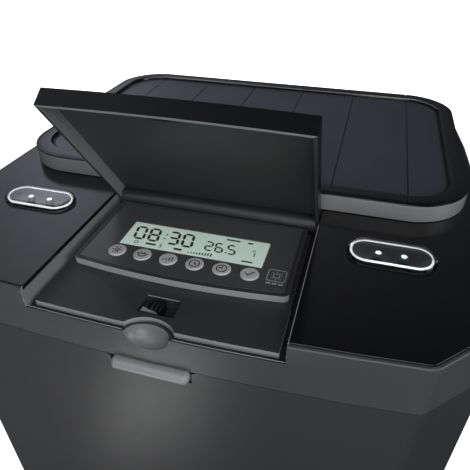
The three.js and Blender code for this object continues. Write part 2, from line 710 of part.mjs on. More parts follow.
function solarCell(column) {
  const half = LID_HALF_WIDTH - FRAME_WIDTH - CELL_BORDER;
  const inner = half + CELL_BORDER - END_CELL_WIDTH;
  const pitch = (2 * inner) / CELL_COLUMNS;
  const left = column === 0 ? -half : -inner + (column - 1) * pitch + CELL_GAP / 2;
  const right = column === CELL_COLUMNS + 1 ? half : -inner + column * pitch - CELL_GAP / 2;
  const strip = block(left, right, LID_FRONT, LID_BACK, CELL_LOW, CELL_LOW + CELL_THICKNESS);
  const area = prism(lidOutline(FRAME_WIDTH + CELL_BORDER), CELL_LOW - 1, CELL_LOW + 2);
  return piece(`solar_cell_${column + 1}`, strip.intersect(area), 'solar_cell');
}

// ---------------------------------------------------------------- latch

// A rounded bar to press, with a window frame behind the casing that holds the catch.
function latchBar() {
  const high = SEAM_Z - 0.5;
  const low = high - LATCH_HEIGHT;
  const middle = (high + low) / 2;
  const nose = Array.from({ length: 9 }, (_, i) => {
    const angle = Math.PI / 2 + (Math.PI * i) / 8;
    return new THREE.Vector2(
      LATCH_REACH * Math.cos(angle),
      middle + (LATCH_HEIGHT / 2) * Math.sin(angle),
    );
  });
  const profile = [...nose, new THREE.Vector2(1.2, low), new THREE.Vector2(1.2, high)];
  const grip = profileAlongX(profile, -LATCH_HALF_WIDTH, LATCH_HALF_WIDTH);
  const back = LATCH_PAD_DEPTH + 2 + 1.6 + 0.8;
  const stem = block(-8, 8, 1, back + 2, SEAM_Z - 5.6, SEAM_Z - 3);
  const window = block(-5, 5, LATCH_PAD_DEPTH + 2 - LATCH_TRAVEL - 0.5, back, SEAM_Z - 8, SEAM_Z);
  return piece('latch_bar', cut(join(grip, stem), window), 'satin_grey');
}

function latchPocket() {
  const half = LATCH_HALF_WIDTH + 0.6;
  const low = SEAM_Z - 0.5 - LATCH_HEIGHT - 0.6;
  const pocket = block(-half, half, -20, 1.2 + LATCH_TRAVEL + 0.5, low, SEAM_Z + 5);
  const stemHole = block(-8.4, 8.4, 0, LATCH_PAD_DEPTH + 5, SEAM_Z - 6, SEAM_Z - 2.6);
  return join(pocket, stemHole);
}

// The tapered notch in the bin's edge on one side of the bar.
function latchNotch(side) {
  const near = side * (LATCH_HALF_WIDTH + 0.2);
  const far = side * (LATCH_HALF_WIDTH + LATCH_NOTCH);
  const wedge = [
    new THREE.Vector2(near, 1),
    new THREE.Vector2(near, -1.6),
    new THREE.Vector2(far, 1),
  ];
  const shape = new THREE.Shape(wedge);
  const geometry = new THREE.ExtrudeGeometry(shape, { depth: 3, bevelEnabled: false });
  geometry.rotateX(Math.PI / 2);
  geometry.translate(0, 2, SEAM_Z);
  return toSolid(geometry);
}

// ---------------------------------------------------------------- bin

function binShell() {
  const high = SEAM_Z - GAP / 2;
  const tube = cut(prism(bodyOutline(), BIN_LOW, high), prism(bodyOutline(WALL), BIN_LOW - 1, high + 1));
  const inside = prism(bodyOutline(WALL / 2), BIN_LOW, high);
  const padHalf = LATCH_HALF_WIDTH + 4;
  const pad = block(-padHalf, padHalf, 0, LATCH_PAD_DEPTH, SEAM_Z - 13, high).intersect(inside);
  const bosses = screwPlaces().map(([x, y]) => rodZ(x, y, SCREW_BOSS_RADIUS, BIN_LOW, BIN_LOW + 12, 12));
  const ledges = [-1, 1].map((side) => hopperLedge(side));
  const filled = join(tube, pad, join(...bosses).intersect(inside), ...ledges);
  const outletCorners = rectCorners(-OUTLET_HALF_WIDTH, OUTLET_HALF_WIDTH, OUTLET_LOW, OUTLET_HIGH, 6);
  const outlet = prism(outlineOf(outletCorners), -30, 30);
  const turned = outlet.rotate([90, 0, 0]).translate([0, 0, FLOOR_Z]);
  const screwHoles = screwPlaces().map(([x, y]) => rodZ(x, y, SCREW_RADIUS + GAP, BIN_LOW - 1, BIN_LOW + 10, 8));
  const socket = socketPlace();
  const socketHole = rodY(socket.x, socket.z, SOCKET_RADIUS - 1, BODY_DEPTH - 20, BODY_DEPTH + 5);
  const notches = [-1, 1].map((side) => latchNotch(side));
  const opened = cut(filled, latchPocket(), turned, socketHole, ...screwHoles, ...notches);
  const hinges = [-1, 1].flatMap((side) => {
    return [0, 2].map((third) => knuckle(...knuckleSpan(side, third), SEAM_Z - HINGE_RADIUS, high));
  });
  const bores = [-1, 1].map((side) => hingeBore(side));
  return piece('bin_shell', cut(join(opened, ...hinges), ...bores), 'satin_charcoal');
}

function rodY(x, z, radius, front, back, sides = 16) {
  const geometry = new THREE.CylinderGeometry(radius, radius, back - front, sides);
  geometry.translate(x, (front + back) / 2, z);
  return toSolid(geometry);
}

// A rib along each side wall that the hopper's flange rests on.
function hopperLedge(side) {
  const wall = side * (BODY_HALF_WIDTH - WALL / 2);
  const reach = side * (BODY_HALF_WIDTH - WALL - 6);
  const ends = [wall, reach].sort((a, b) => a - b);
  const high = HOPPER_FLANGE_Z - HOPPER_WALL - GAP;
  return block(ends[0], ends[1], 70, BODY_DEPTH - REAR_TAPER_LENGTH - 40, high - 3, high);
}

function screwPlaces() {
  const x = BODY_HALF_WIDTH - WALL - SCREW_BOSS_RADIUS + 1;
  return [-1, 1].flatMap((side) => [90, BODY_DEPTH - REAR_TAPER_LENGTH - 40].map((y) => [side * x, y]));
}

function hingePin(side) {
  const half = 1.5 * HINGE_KNUCKLE;
  const name = side < 0 ? 'hinge_pin_left' : 'hinge_pin_right';
  const middle = side * HINGE_X;
  return piece(name, rodX(middle - half, middle + half, HINGE_Y, SEAM_Z, HINGE_PIN_RADIUS, 16), 'steel');
}

function basePlate() {
  const plate = prism(bodyOutline(0.6), BASE_LOW, BASE_LOW + BASE_THICKNESS);
  const holes = screwPlaces().map(([x, y]) => rodZ(x, y, SCREW_RADIUS + GAP, BASE_LOW - 1, BIN_LOW, 8));
  const sinks = screwPlaces().map(([x, y]) => rodZ(x, y, SCREW_HEAD_RADIUS + GAP, BASE_LOW - 1, BASE_LOW + 2.2, 12));
  return piece('base_plate', cut(plate, ...holes, ...sinks), 'dark_plastic');
}

function baseScrew([x, y], index) {
  const head = rodZ(x, y, SCREW_HEAD_RADIUS, BASE_LOW + 0.3, BASE_LOW + 1.9, 12);
  const shaft = rodZ(x, y, SCREW_RADIUS, BASE_LOW + 0.6, BIN_LOW + 8, 8);
  return piece(`base_screw_${index + 1}`, join(head, shaft), 'steel');
}

function foot([x, y], index) {
  const outer = rodZ(x, y, FOOT_RADIUS, FLOOR_Z + 1.2, FLOOR_Z + FOOT_HEIGHT, 20);
  const sole = rodZ(x, y, FOOT_RADIUS - 1.5, FLOOR_Z, FLOOR_Z + 3, 20);
  return piece(`foot_${index + 1}`, join(outer, sole), 'rubber');
}

function footPlaces() {
  const x = BODY_HALF_WIDTH - 40;
  return [-1, 1].flatMap((side) => [55, BODY_DEPTH - 50].map((y) => [side * x, y]));
}

function socketPlace() {
  return { x: 100, z: FLOOR_Z + 45 };
}

function powerSocket() {
  const { x, z } = socketPlace();
  const flange = rodY(x, z, SOCKET_RADIUS + 1.5, BODY_DEPTH + GAP, BODY_DEPTH + 2);
  const barrel = rodY(x, z, SOCKET_RADIUS - 1 - GAP, BODY_DEPTH - 14, BODY_DEPTH + 1);
  const bore = rodY(x, z, 3, BODY_DEPTH - 10, BODY_DEPTH + 5, 16);
  const pin = rodY(x, z, 1, BODY_DEPTH - 12, BODY_DEPTH - 1, 12);
  return piece('power_socket', join(cut(join(flange, barrel), bore), pin), 'dark_plastic');
}

// ---------------------------------------------------------------- hopper, drum and thrower

function hopperLayer(halfX, front, back, radius, z) {
  return { points: outlineOf(rectCorners(-halfX, halfX, front, back, radius)), z };
}

// The hopper's outline moved in by one wall, from its rim down to its throat.
function hopperBody(inset, high, low) {
  const w = HOPPER_HALF_WIDTH - inset;
  const throatX = THROAT_HALF_WIDTH + HOPPER_WALL - inset;
  const throatY = THROAT_HALF_DEPTH + HOPPER_WALL - inset;
  return loft([
    hopperLayer(throatX, DRUM_Y - throatY, DRUM_Y + throatY, 8 - inset, low),
    hopperLayer(throatX, DRUM_Y - throatY, DRUM_Y + throatY, 8 - inset, HOPPER_BOTTOM + 6),
    hopperLayer(w, HOPPER_FRONT + inset, HOPPER_BACK - inset, 30 - inset, HOPPER_FUNNEL_TOP),
    hopperLayer(w, HOPPER_FRONT + inset, HOPPER_BACK - inset, 30 - inset, high),
  ]);
}

function hopper() {
  const top = HOPPER_FLANGE_Z;
  const outside = hopperBody(0, top - 1, HOPPER_BOTTOM);
  const inside = hopperBody(HOPPER_WALL, top + 1, HOPPER_BOTTOM - 1);
  const clearOfLatch = block(-400, 400, -10, 22, top - 20, top + 10);
  const flange = cut(prism(bodyOutline(WALL + 1), top - HOPPER_WALL, top), clearOfLatch);
  return piece('hopper', cut(join(outside, flange), inside), 'hopper_white');
}

function hopperGasket() {
  const out = GASKET_INSET;
  const high = SEAM_Z + GAP / 2;
  const low = HOPPER_FLANGE_Z + GAP;
  const half = HOPPER_HALF_WIDTH + out + GASKET_WIDTH;
  const front = HOPPER_FRONT - out - GASKET_WIDTH;
  const back = HOPPER_BACK + out + GASKET_WIDTH;
  const corners = rectCorners(-half, half, front, back, 34);
  const ring = cut(
    prism(outlineOf(corners), low, high),
    prism(outlineOf(corners, GASKET_WIDTH), low - 1, high + 1),
  );
  return piece('hopper_gasket', ring, 'rubber');
}

function dosingHousing() {
  const half = DRUM_HALF_LENGTH;
  const outer = rodX(-half, half, DRUM_Y, DRUM_Z, DRUM_RADIUS, 24);
  const saddle = block(-half, half, DRUM_Y - 24, DRUM_Y + 24, DRUM_Z - DRUM_RADIUS, DRUM_Z);
  const inner = rodX(-half + DRUM_WALL, half - DRUM_WALL, DRUM_Y, DRUM_Z, DRUM_RADIUS - DRUM_WALL, 24);
  const inlet = block(-THROAT_HALF_WIDTH, THROAT_HALF_WIDTH, DRUM_Y - THROAT_HALF_DEPTH, DRUM_Y + THROAT_HALF_DEPTH, DRUM_Z, DRUM_Z + 50);
  const outlet = block(-THROAT_HALF_WIDTH, THROAT_HALF_WIDTH, DRUM_Y - 15, DRUM_Y + 15, DRUM_Z - 50, DRUM_Z);
  const shaft = rodX(-half - 5, half + 5, DRUM_Y, DRUM_Z, SHAFT_RADIUS + GAP, 16);
  return piece('dosing_housing', cut(join(outer, saddle), inner, inlet, outlet, shaft), 'hopper_white');
}

function dosingRotor() {
  const half = DRUM_HALF_LENGTH - DRUM_WALL - 0.6;
  const reach = DRUM_RADIUS - DRUM_WALL - 0.8;
  const hub = rodX(-half, half, DRUM_Y, DRUM_Z, ROTOR_HUB_RADIUS, 16);
  const shaft = rodX(-DRUM_HALF_LENGTH - 2, DRUM_HALF_LENGTH + 8, DRUM_Y, DRUM_Z, SHAFT_RADIUS, 16);
  const blades = Array.from({ length: ROTOR_BLADES / 2 }, (_, i) => {
    const blade = new THREE.BoxGeometry(2 * half, 2 * reach, 2);
    blade.rotateX((Math.PI * 2 * i) / ROTOR_BLADES + Math.PI / ROTOR_BLADES);
    blade.translate(0, DRUM_Y, DRUM_Z);
    return toSolid(blade);
  });
  return piece('dosing_rotor', join(hub, shaft, ...blades), 'satin_grey');
}

function dosingMotor() {
  const start = DRUM_HALF_LENGTH + 3;
  const gearbox = block(start, start + 22, DRUM_Y - 18, DRUM_Y + 18, DRUM_Z - 16, DRUM_Z + 20);
  const can = rodX(start + 21, start + 52, DRUM_Y, DRUM_Z, 14);
  const bore = rodX(start - 1, start + 8, DRUM_Y, DRUM_Z, SHAFT_RADIUS + GAP, 16);
  return piece('dosing_motor', cut(join(gearbox, can), bore), 'steel');
}

// Three walls around the spinning disc, open to the outlet, with a floor under the disc and a roof.
function throwerHousing() {
  const radius = THROWER_RADIUS + THROWER_CLEARANCE;
  const outerRadius = radius + THROWER_WALL;
  const low = BIN_LOW + GAP;
  const high = FLOOR_Z + OUTLET_HIGH + 2;
  const round = (r, inner) => {
    const arc = Array.from({ length: 17 }, (_, i) => {
      const angle = (Math.PI * i) / 16;
      return new THREE.Vector2(r * Math.cos(angle), DRUM_Y + r * Math.sin(angle));
    });
    const front = WALL + 0.6 + bow(r) - (inner ? 20 : 0);
    return [new THREE.Vector2(-r, front), new THREE.Vector2(r, front), ...arc];
  };
  const outside = prism(round(outerRadius, false), low, high);
  const chamber = prism(round(radius, true), THROWER_FLOOR, high - 2);
  const cellar = prism(round(radius, true), low - 1, THROWER_FLOOR - 2);
  const frontWall = block(-outerRadius, outerRadius, -20, WALL + 0.6 + bow(outerRadius), low - 5, high + 5);
  const inlet = block(-THROAT_HALF_WIDTH, THROAT_HALF_WIDTH, DRUM_Y - 15, DRUM_Y + 15, high - 5, high + 5);
  const shaftHole = rodZ(0, DRUM_Y, SHAFT_RADIUS + GAP, THROWER_FLOOR - 5, THROWER_FLOOR + 5, 16);
  return piece('thrower_housing', cut(outside, chamber, cellar, inlet, shaftHole, frontWall), 'dark_plastic');
}

function throwerDisc() {
  const low = THROWER_FLOOR + 2;
  const disc = rodZ(0, DRUM_Y, THROWER_RADIUS, low, low + 2, 32);
  const hub = rodZ(0, DRUM_Y, 8, low, low + 10, 16);
  const shaft = rodZ(0, DRUM_Y, SHAFT_RADIUS, THROWER_FLOOR - 9, low + 1, 16);
  const vanes = Array.from({ length: THROWER_VANES / 2 }, (_, i) => {
    const vane = new THREE.BoxGeometry(2 * THROWER_RADIUS - 6, 2, 12);
    vane.translate(0, 0, low + 7);
    vane.rotateZ((Math.PI * 2 * i) / THROWER_VANES);
    vane.translate(0, DRUM_Y, 0);
    return toSolid(vane);
  });
  return piece('thrower_disc', join(disc, hub, shaft, ...vanes), 'satin_grey');
}

function throwerMotor() {
  const high = THROWER_FLOOR - 2 - GAP;
  const can = rodZ(0, DRUM_Y, 18, BIN_LOW + GAP, high);
  const bore = rodZ(0, DRUM_Y, SHAFT_RADIUS + GAP, high - 8, high + 1, 16);
  return piece('thrower_motor', cut(can, bore), 'steel');
}

function batteryPack() {
  const low = BIN_LOW + GAP;
  const front = DRUM_Y + THROWER_RADIUS + 30;
  const pack = block(-60, 60, front, front + 60, low, low + 62);
  const posts = [-1, 1].map((side) => block(side * 45 - 5, side * 45 + 5, front + 8, front + 14, low + 61, low + 66));
  return piece('battery_pack', join(pack, ...posts), 'battery');
}

// ---------------------------------------------------------------- assembly

const feeder = new THREE.Group();
feeder.add(binShell(), basePlate(), hopper(), hopperGasket());
feeder.add(...footPlaces().map(foot), ...screwPlaces().map(baseScrew));
feeder.add(dosingHousing(), dosingRotor(), dosingMotor());
feeder.add(throwerHousing(), throwerDisc(), throwerMotor(), batteryPack(), powerSocket());
feeder.add(hingePin(-1), hingePin(1), latchBar());
feeder.add(topHousing(), deckPlate(), undersidePlate(), latchCatch(), mainBoard());
feeder.add(controlTray(), moduleCase(), moduleOverlay(), lcdPanel(), keyBoard());
feeder.add(...KEY_NAMES.map((_, index) => controlKey(index)));
feeder.add(switchBody(), powerKnob(), controlCover(), coverPin(-1), coverPin(1));
feeder.add(lightLens(-1), lightLens(1), lightBoard(-1), lightBoard(1));
feeder.add(solarBase(), solarFrame(), solarGlass());
feeder.add(...Array.from({ length: CELL_COLUMNS + 2 }, (_, column) => solarCell(column)));

// The box reaches from the latch bar's nose to the back of the hinge knuckles.
const boxMiddleY = (HINGE_Y + HINGE_RADIUS - LATCH_REACH) / 2;
feeder.position.set(0, -boxMiddleY, BODY_HEIGHT);

const part = new THREE.Group();
part.add(feeder);

export default part;
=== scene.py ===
"""Looks of a solar-topped automatic feeder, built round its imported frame.

Shapes are worked out in millimetres in the deck frame: x to the right, y backwards from the
middle of the front edge, z up from the deck's top. place() turns them into the frame's metres.
"""

import json
import math

import bmesh
import bpy
import numpy as np
from bpy.props import FloatProperty, FloatVectorProperty, PointerProperty
from bpy.types import Operator, Panel, PropertyGroup
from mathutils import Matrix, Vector

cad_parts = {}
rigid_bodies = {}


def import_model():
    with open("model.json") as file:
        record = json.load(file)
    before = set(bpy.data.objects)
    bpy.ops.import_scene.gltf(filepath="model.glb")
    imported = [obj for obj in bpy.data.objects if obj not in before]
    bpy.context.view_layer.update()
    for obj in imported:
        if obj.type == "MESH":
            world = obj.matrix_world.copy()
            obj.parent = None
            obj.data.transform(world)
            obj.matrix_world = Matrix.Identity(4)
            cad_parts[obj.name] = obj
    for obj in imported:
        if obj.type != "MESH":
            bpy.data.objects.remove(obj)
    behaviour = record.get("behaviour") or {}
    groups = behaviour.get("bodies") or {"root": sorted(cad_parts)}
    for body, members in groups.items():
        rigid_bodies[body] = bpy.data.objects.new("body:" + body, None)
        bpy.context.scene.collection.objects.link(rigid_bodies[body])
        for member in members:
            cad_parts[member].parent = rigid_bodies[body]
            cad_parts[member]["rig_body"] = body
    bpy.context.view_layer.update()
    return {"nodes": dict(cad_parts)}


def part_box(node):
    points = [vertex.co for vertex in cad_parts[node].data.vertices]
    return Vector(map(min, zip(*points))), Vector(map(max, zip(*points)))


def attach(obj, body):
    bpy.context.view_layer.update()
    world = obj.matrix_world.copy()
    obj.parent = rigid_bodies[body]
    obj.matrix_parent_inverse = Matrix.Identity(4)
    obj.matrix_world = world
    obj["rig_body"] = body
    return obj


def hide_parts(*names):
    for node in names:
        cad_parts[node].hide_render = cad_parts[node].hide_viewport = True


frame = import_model()

bl_info = {
    "name": "Automatic Feeder",
    "version": (1, 0, 0),
    "blender": (4, 5, 0),
    "location": "View3D > Sidebar > Feeder",
    "description": "Builds the looks of a solar-topped automatic feeder around its CAD frame",
    "category": "Object",
}

MM = 0.001


def linear(code):
    """An sRGB hex colour as linear red, green and blue."""
    parts = np.array([int(code[i : i + 2], 16) for i in (0, 2, 4)]) / 255
    curved = ((parts + 0.055) / 1.055) ** 2.4
    return tuple(float(v) for v in np.where(parts <= 0.04045, parts / 12.92, curved))


def colour_property(name, description, code):
    """A colour that the panel shows, with its default as an sRGB hex code."""
    return FloatVectorProperty(
        name=name, description=description, subtype="COLOR", size=3, min=0, max=1, default=linear(code)
    )


def length_property(name, description, millimetres):
    """A length that the panel shows, with its default in millimetres."""
    return FloatProperty(
        name=name, description=description, default=millimetres * MM, min=0, unit="LENGTH", subtype="DISTANCE"
    )


# ---------------------------------------------------------------- places, from the frame

FRONT_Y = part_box("bin_shell")[0].y
DECK_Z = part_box("deck_plate")[1].z
ORIGIN = np.array((0.0, FRONT_Y, DECK_Z))


def deck(value, axis):
    """One coordinate of the frame, in metres, as millimetres in the deck frame."""
    return (value - ORIGIN[axis]) / MM


def span(node, axis):
    """The lowest and highest place of a CAD node along one axis, in the deck frame."""
    low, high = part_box(node)
    return deck(low[axis], axis), deck(high[axis], axis)


def place(points):
    """Points of the deck frame, in millimetres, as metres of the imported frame."""
    return np.asarray(points, float) * MM + ORIGIN


LID_LEFT, LID_RIGHT = span("solar_base", 0)
LID_FRONT, LID_BACK = span("solar_base", 1)
LID_HIGH = span("solar_base", 2)[1]
FRAME_TOP = span("solar_frame", 2)[1]
GLASS_LOW, GLASS_TOP = span("solar_glass", 2)
CELL_LOW = span("solar_cell_1", 2)[0]
GAP = 0.3

# The front edges bow back as FRONT_BOW times x squared. The bay is cut into the top between its
# side walls, and the scoop is half an ellipsoid hollowed from the middle of the bay's lip.
FRONT_BOW = 0.00037
BAY_HALF = 65.1
BAY_BACK = 97.0
LIP_INSET = 1.1
LIP_DROP = 1.75
SCOOP_RIM = 12.6
SCOOP_TOP = -11.4
SCOOP_HALF = (11.2, 7.5, 9.0)
PRINT_DEPTH = 0.05

KEYS = ("light", "feed", "volume", "hour", "minute", "set")
SIDES = ("left", "right")


# ---------------------------------------------------------------- what a user would change


class FeederSizes(PropertyGroup):
    """Lengths that a user may set; what fits to CAD pieces is read from the frame instead"""

    edge: length_property("Casing edge", "Radius of the rounded edges of the large mouldings", 0.7)
    fine_edge: length_property("Fine edge", "Radius of the rounded edges of small parts", 0.35)
    lid_radius: length_property("Lid corner", "Corner radius of the solar lid", 36)
    frame_width: length_property("Frame width", "Width of the black frame round the solar glass", 11)
    seam: length_property("Frame seam", "Gap between two lengths of the solar frame", 0.45)
    key_edge: length_property("Key edge", "Radius round the top of each key", 0.6)
    stroke: length_property("Print stroke", "Width of the lines printed on keys and film", 0.6)
    digit: length_property("Digit height", "Height of the large digits on the display", 11)
    floor_reach: length_property("Floor reach", "How far the floor reaches round the feeder", 6000)


class FeederColours(PropertyGroup):
    """Base colours of the materials"""

    charcoal: colour_property("Casing", "Satin charcoal ABS of the bin", "2a2b2d")
    # Painted light: the casing's ABS painted lighter for the top housing, which is lit more.
    top: colour_property("Top housing", "Satin charcoal ABS of the top housing", "38393b")
    gloss: colour_property("Deck", "Polished black ABS of the deck, cover and frame", "0c0d0e")
    # On the scoop this grey is painted light.
    grey: colour_property("Lid wall", "Satin grey ABS under the solar frame", "7b7c7f")
    # Painted light: this grey lightens forward faces and draws the painted highlight lines.
    case: colour_property("Display case", "Satin grey ABS of the tray's and display's front faces", "96989b")
    tray: colour_property("Tray", "Dark ABS of the control tray", "37383a")
    film: colour_property("Display film", "Printed film round the display", "525355")
    glass: colour_property("Display", "Pale green-grey liquid crystal glass", "bfd3c8")
    key: colour_property("Keys", "Grey silicone rubber of the keys", "d0d2d4")
    latch: colour_property("Latch", "Grey ABS of the latch bar", "96989b")
    # Painted light: this light grey on the cover's inner skirts and the bay's side walls stands for light
    # falling on them.
    painted_lit_wall: colour_property("Cover lining", "Matt ABS inside the cover's skirt", "85868a")
    cell: colour_property("Solar cells", "Dark slate silicon", "575865")
    floor: colour_property("Floor", "Plain studio floor", "f4f4f4")


# ---------------------------------------------------------------- outlines and surfaces


def unit(vectors):
    """Each vector at length one."""
    return vectors / np.linalg.norm(vectors, axis=-1, keepdims=True)


def rounded(corners):
    """A closed outline from (x, y, radius, steps) corners. Each corner becomes the arc of that
    radius that touches both its edges, turned through steps equal angles."""
    points = []
    for i, (x, y, radius, steps) in enumerate(corners):
        here = np.array((x, y), float)
        if radius <= 0:
            points.append(here[None])
            continue
        a = unit(np.array(corners[i - 1][:2], float) - here)
        b = unit(np.array(corners[(i + 1) % len(corners)][:2], float) - here)
        half = math.acos(np.clip(a @ b, -1, 1)) / 2
        centre = here + unit(a + b) * radius / math.sin(half)
        start = here + a * radius / math.tan(half) - centre
        turn = math.copysign(math.pi - 2 * half, a[1] * b[0] - a[0] * b[1])
        angle = np.linspace(0, turn, steps + 1)
        c, s = np.cos(angle), np.sin(angle)
        points.append(centre + np.stack((start[0] * c - start[1] * s, start[0] * s + start[1] * c), -1))
    return np.concatenate(points)


def rectangle(left, right, front, back, radius=0.0, steps=8):
    """A rectangle's outline, anticlockwise from its front left corner, with rounded corners."""
    corners = ((left, front), (right, front), (right, back), (left, back))
    return rounded([(x, y, radius, steps) for x, y in corners])


def ellipse(x, y, half_x, half_y, sides=64):
    """Points at equal angles: centre plus half_x cosine, half_y sine."""
    angle = np.linspace(0, 2 * math.pi, sides, endpoint=False)
    return np.stack((x + half_x * np.cos(angle), y + half_y * np.sin(angle)), -1)


def capsule(x, y, half_length, half_width, steps=24):
    """Two half circles of half_width, joined by straight sides along x."""
    angle = np.linspace(-math.pi / 2, math.pi / 2, steps + 1)
    end = half_length - half_width
    right = np.stack((end + half_width * np.cos(angle), half_width * np.sin(angle)), -1)
    return np.concatenate((right, -right)) + np.array((x, y))


def outward(points, closed=True):
    """At each point, the vector that moves both its edges outwards by one: the sum of the edges'
    unit normals over one plus the cosine of the turn. Open paths use their end edges as they are."""
    ahead = unit(np.roll(points, -1, 0) - points)
    behind = np.roll(ahead, 1, 0)
    if not closed:
        ahead[-1] = behind[-1]
        behind[0] = ahead[0]
    total = ahead + behind
    normals = np.stack((total[:, 1], -total[:, 0]), -1)
    return normals / (1 + (ahead * behind).sum(-1))[:, None]


def grid_faces(rows, columns, wrap_rows, wrap_columns):
    """Quads of a grid of points, row by row, joined round where a direction wraps."""
    r = np.arange(rows if wrap_rows else rows - 1)[:, None]
    c = np.arange(columns if wrap_columns else columns - 1)[None, :]
    r2, c2 = (r + 1) % rows, (c + 1) % columns
    quads = (r * columns + c, r * columns + c2, r2 * columns + c2, r2 * columns + c)
    return np.stack([np.broadcast_to(q, np.broadcast(r, c).shape) for q in quads], -1).reshape(-1, 4).tolist()


def ring_caps(rows, columns):
    """The faces that shut a grid whose rows are closed rings: the first row reversed, then the last."""
    last = (rows - 1) * columns
    return [list(range(columns - 1, -1, -1)), list(range(last, last + columns))]


def carry(path, profile, closed_path=True, closed_profile=True):
    """A profile of (outward, z) points carried along a path of (x, y) points: every point of the
    surface is path + outward vector * outward, at height z. Ends that don't join are capped."""
    path, profile = np.asarray(path, float), np.asarray(profile, float)
    n, m = len(path), len(profile)
    flat = path[None] + outward(path, closed_path)[None] * profile[:, None, :1]
    height = np.broadcast_to(profile[:, None, 1:], (m, n, 1))
    points = np.concatenate((flat, height), -1).reshape(-1, 3)
    faces = grid_faces(m, n, closed_profile, closed_path)
    if not closed_profile:
        faces += ring_caps(m, n)
    if not closed_path:
        rings = np.arange(m) * n
        faces.append(rings.tolist())
        faces.append((rings + n - 1)[::-1].tolist())
    return points, faces


def revolve(profile, x, y, sides=32):
    """A profile of (radius, z) points turned about the upright axis at (x, y), capped at its ends."""
    profile = np.asarray(profile, float)
    angle = np.linspace(0, 2 * math.pi, sides, endpoint=False)
    ring = np.stack((np.cos(angle), np.sin(angle)), -1)
    flat = profile[:, None, :1] * ring[None] + np.array((x, y))
    height = np.broadcast_to(profile[:, None, 1:], (len(profile), sides, 1))
    points = np.concatenate((flat, height), -1).reshape(-1, 3)
    return points, grid_faces(len(profile), sides, False, True) + ring_caps(len(profile), sides)


def quarter(radius, low, high, steps=6):
    """A side with a rounded top edge, as (outward, z) points: up from low at 0, then a quarter
    circle in to -radius at high."""
    angle = np.linspace(0, math.pi / 2, steps + 1)
    arc = np.stack((radius * (np.cos(angle) - 1), high - radius + radius * np.sin(angle)), -1)
    return np.concatenate(([(0, low)], arc))


def box_profile(inner, outer, low, high, radius=0.0, steps=4):
    """A closed rectangular profile between two outward distances, with rounded corners."""
    return rectangle(inner, outer, low, high, radius, steps)


def slab(outline, low, high, edge):
    """A plate of one outline with both its edges rounded."""
    angle = np.linspace(0, math.pi / 2, 5)
    top = np.stack((edge * (np.cos(angle) - 1), high - edge + edge * np.sin(angle)), -1)
    bottom = np.stack((top[::-1, 0], low + high - top[::-1, 1]), -1)
    return carry(outline, np.concatenate((bottom, top)), True, False)


def stroke(points, width, low, high, closed=False):
    """A printed line: a thin strip of that width along a path."""
    return carry(points, box_profile(-width / 2, width / 2, low, high), closed, True)


def flat(outline, low, high):
    """A plate of one outline with square edges."""
    return carry(outline, [(0, low), (0, high)], True, False)


def arc_points(x, y, radius, start, end, steps=20):
    """Points on a circle from one angle to another, in degrees."""
    angle = np.radians(np.linspace(start, end, steps + 1))
    return np.stack((x + radius * np.cos(angle), y + radius * np.sin(angle)), -1)


def bead(points, radius, sides=6):
    """A thin round line through (x, y, z) points: at each, a ring at right angles to the path."""
    points = np.asarray(points, float)
    ahead = unit(np.gradient(points, axis=0))
    across = unit(np.cross(ahead, (0.31, 0.17, 0.93)))
    upward = np.cross(across, ahead)
    angle = np.linspace(0, 2 * math.pi, sides, endpoint=False)[:, None, None]
    rings = points[None] + radius * (np.cos(angle) * upward[None] + np.sin(angle) * across[None])
    count = len(points)
    faces = [face[::-1] for face in grid_faces(sides, count, True, False)]
    start = np.arange(sides) * count
    faces.append((start + count - 1).tolist())
    faces.append(start[::-1].tolist())
    return rings.reshape(-1, 3), faces


def joined(parts):
    """Several closed surfaces as one set of points and faces."""
    points, faces, start = [], [], 0
    for part_points, part_faces in parts:
        points.append(part_points)
        faces.extend([[i + start for i in face] for face in part_faces])
        start += len(part_points)
    return np.concatenate(points), faces


def finish_piece(obj, body, material, replaced=()):
    """Gives a piece its material, its body and the CAD nodes that it stands for."""
    obj.data.materials.clear()
    obj.data.materials.append(material)
    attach(obj, body)
    if replaced:
        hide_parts(*replaced)
    return obj


def smooth(mesh, degrees):
    """Smooth shading, with edges sharper than that angle kept crisp."""
    mesh.polygons.foreach_set("use_smooth", np.ones(len(mesh.polygons), bool))
    mesh.set_sharp_from_angle(angle=math.radians(degrees))
    mesh.update()


def surface(name, shape, body, material, replaced=(), sharp=40):
    """A new piece from points in the deck frame and faces."""
    points, faces = shape
    mesh = bpy.data.meshes.new(name)
    mesh.from_pydata(place(points), [], faces)
    smooth(mesh, sharp)
    obj = bpy.data.objects.new(name, mesh)
    bpy.context.scene.collection.objects.link(obj)
    return finish_piece(obj, body, material, replaced)


WELD = 2e-6
EDGE_ANGLE = math.radians(38)
FACE_WEIGHT = 60


def softened(node, edge, material, segments=2):
    """A copy of a CAD node as one joined mesh whose sharp edges are rounded."""
    mesh = frame["nodes"][node].data.copy()
    shape = bmesh.new()
    shape.from_mesh(mesh)
    bmesh.ops.remove_doubles(shape, verts=shape.verts, dist=WELD)
    shape.to_mesh(mesh)
    shape.free()
    mesh.polygons.foreach_set("use_smooth", np.ones(len(mesh.polygons), bool))
    obj = bpy.data.objects.new(f"{node}_finished", mesh)
    bpy.context.scene.collection.objects.link(obj)
    bevel = obj.modifiers.new("edges", "BEVEL")
    bevel.width = edge
    bevel.segments = segments
    bevel.limit_method = "ANGLE"
    bevel.angle_limit = EDGE_ANGLE
    bevel.miter_outer = "MITER_ARC"
    weighted = obj.modifiers.new("normals", "WEIGHTED_NORMAL")
    weighted.weight = FACE_WEIGHT
    weighted.keep_sharp = False
    return finish_piece(obj, frame["nodes"][node]["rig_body"], material, (node,))


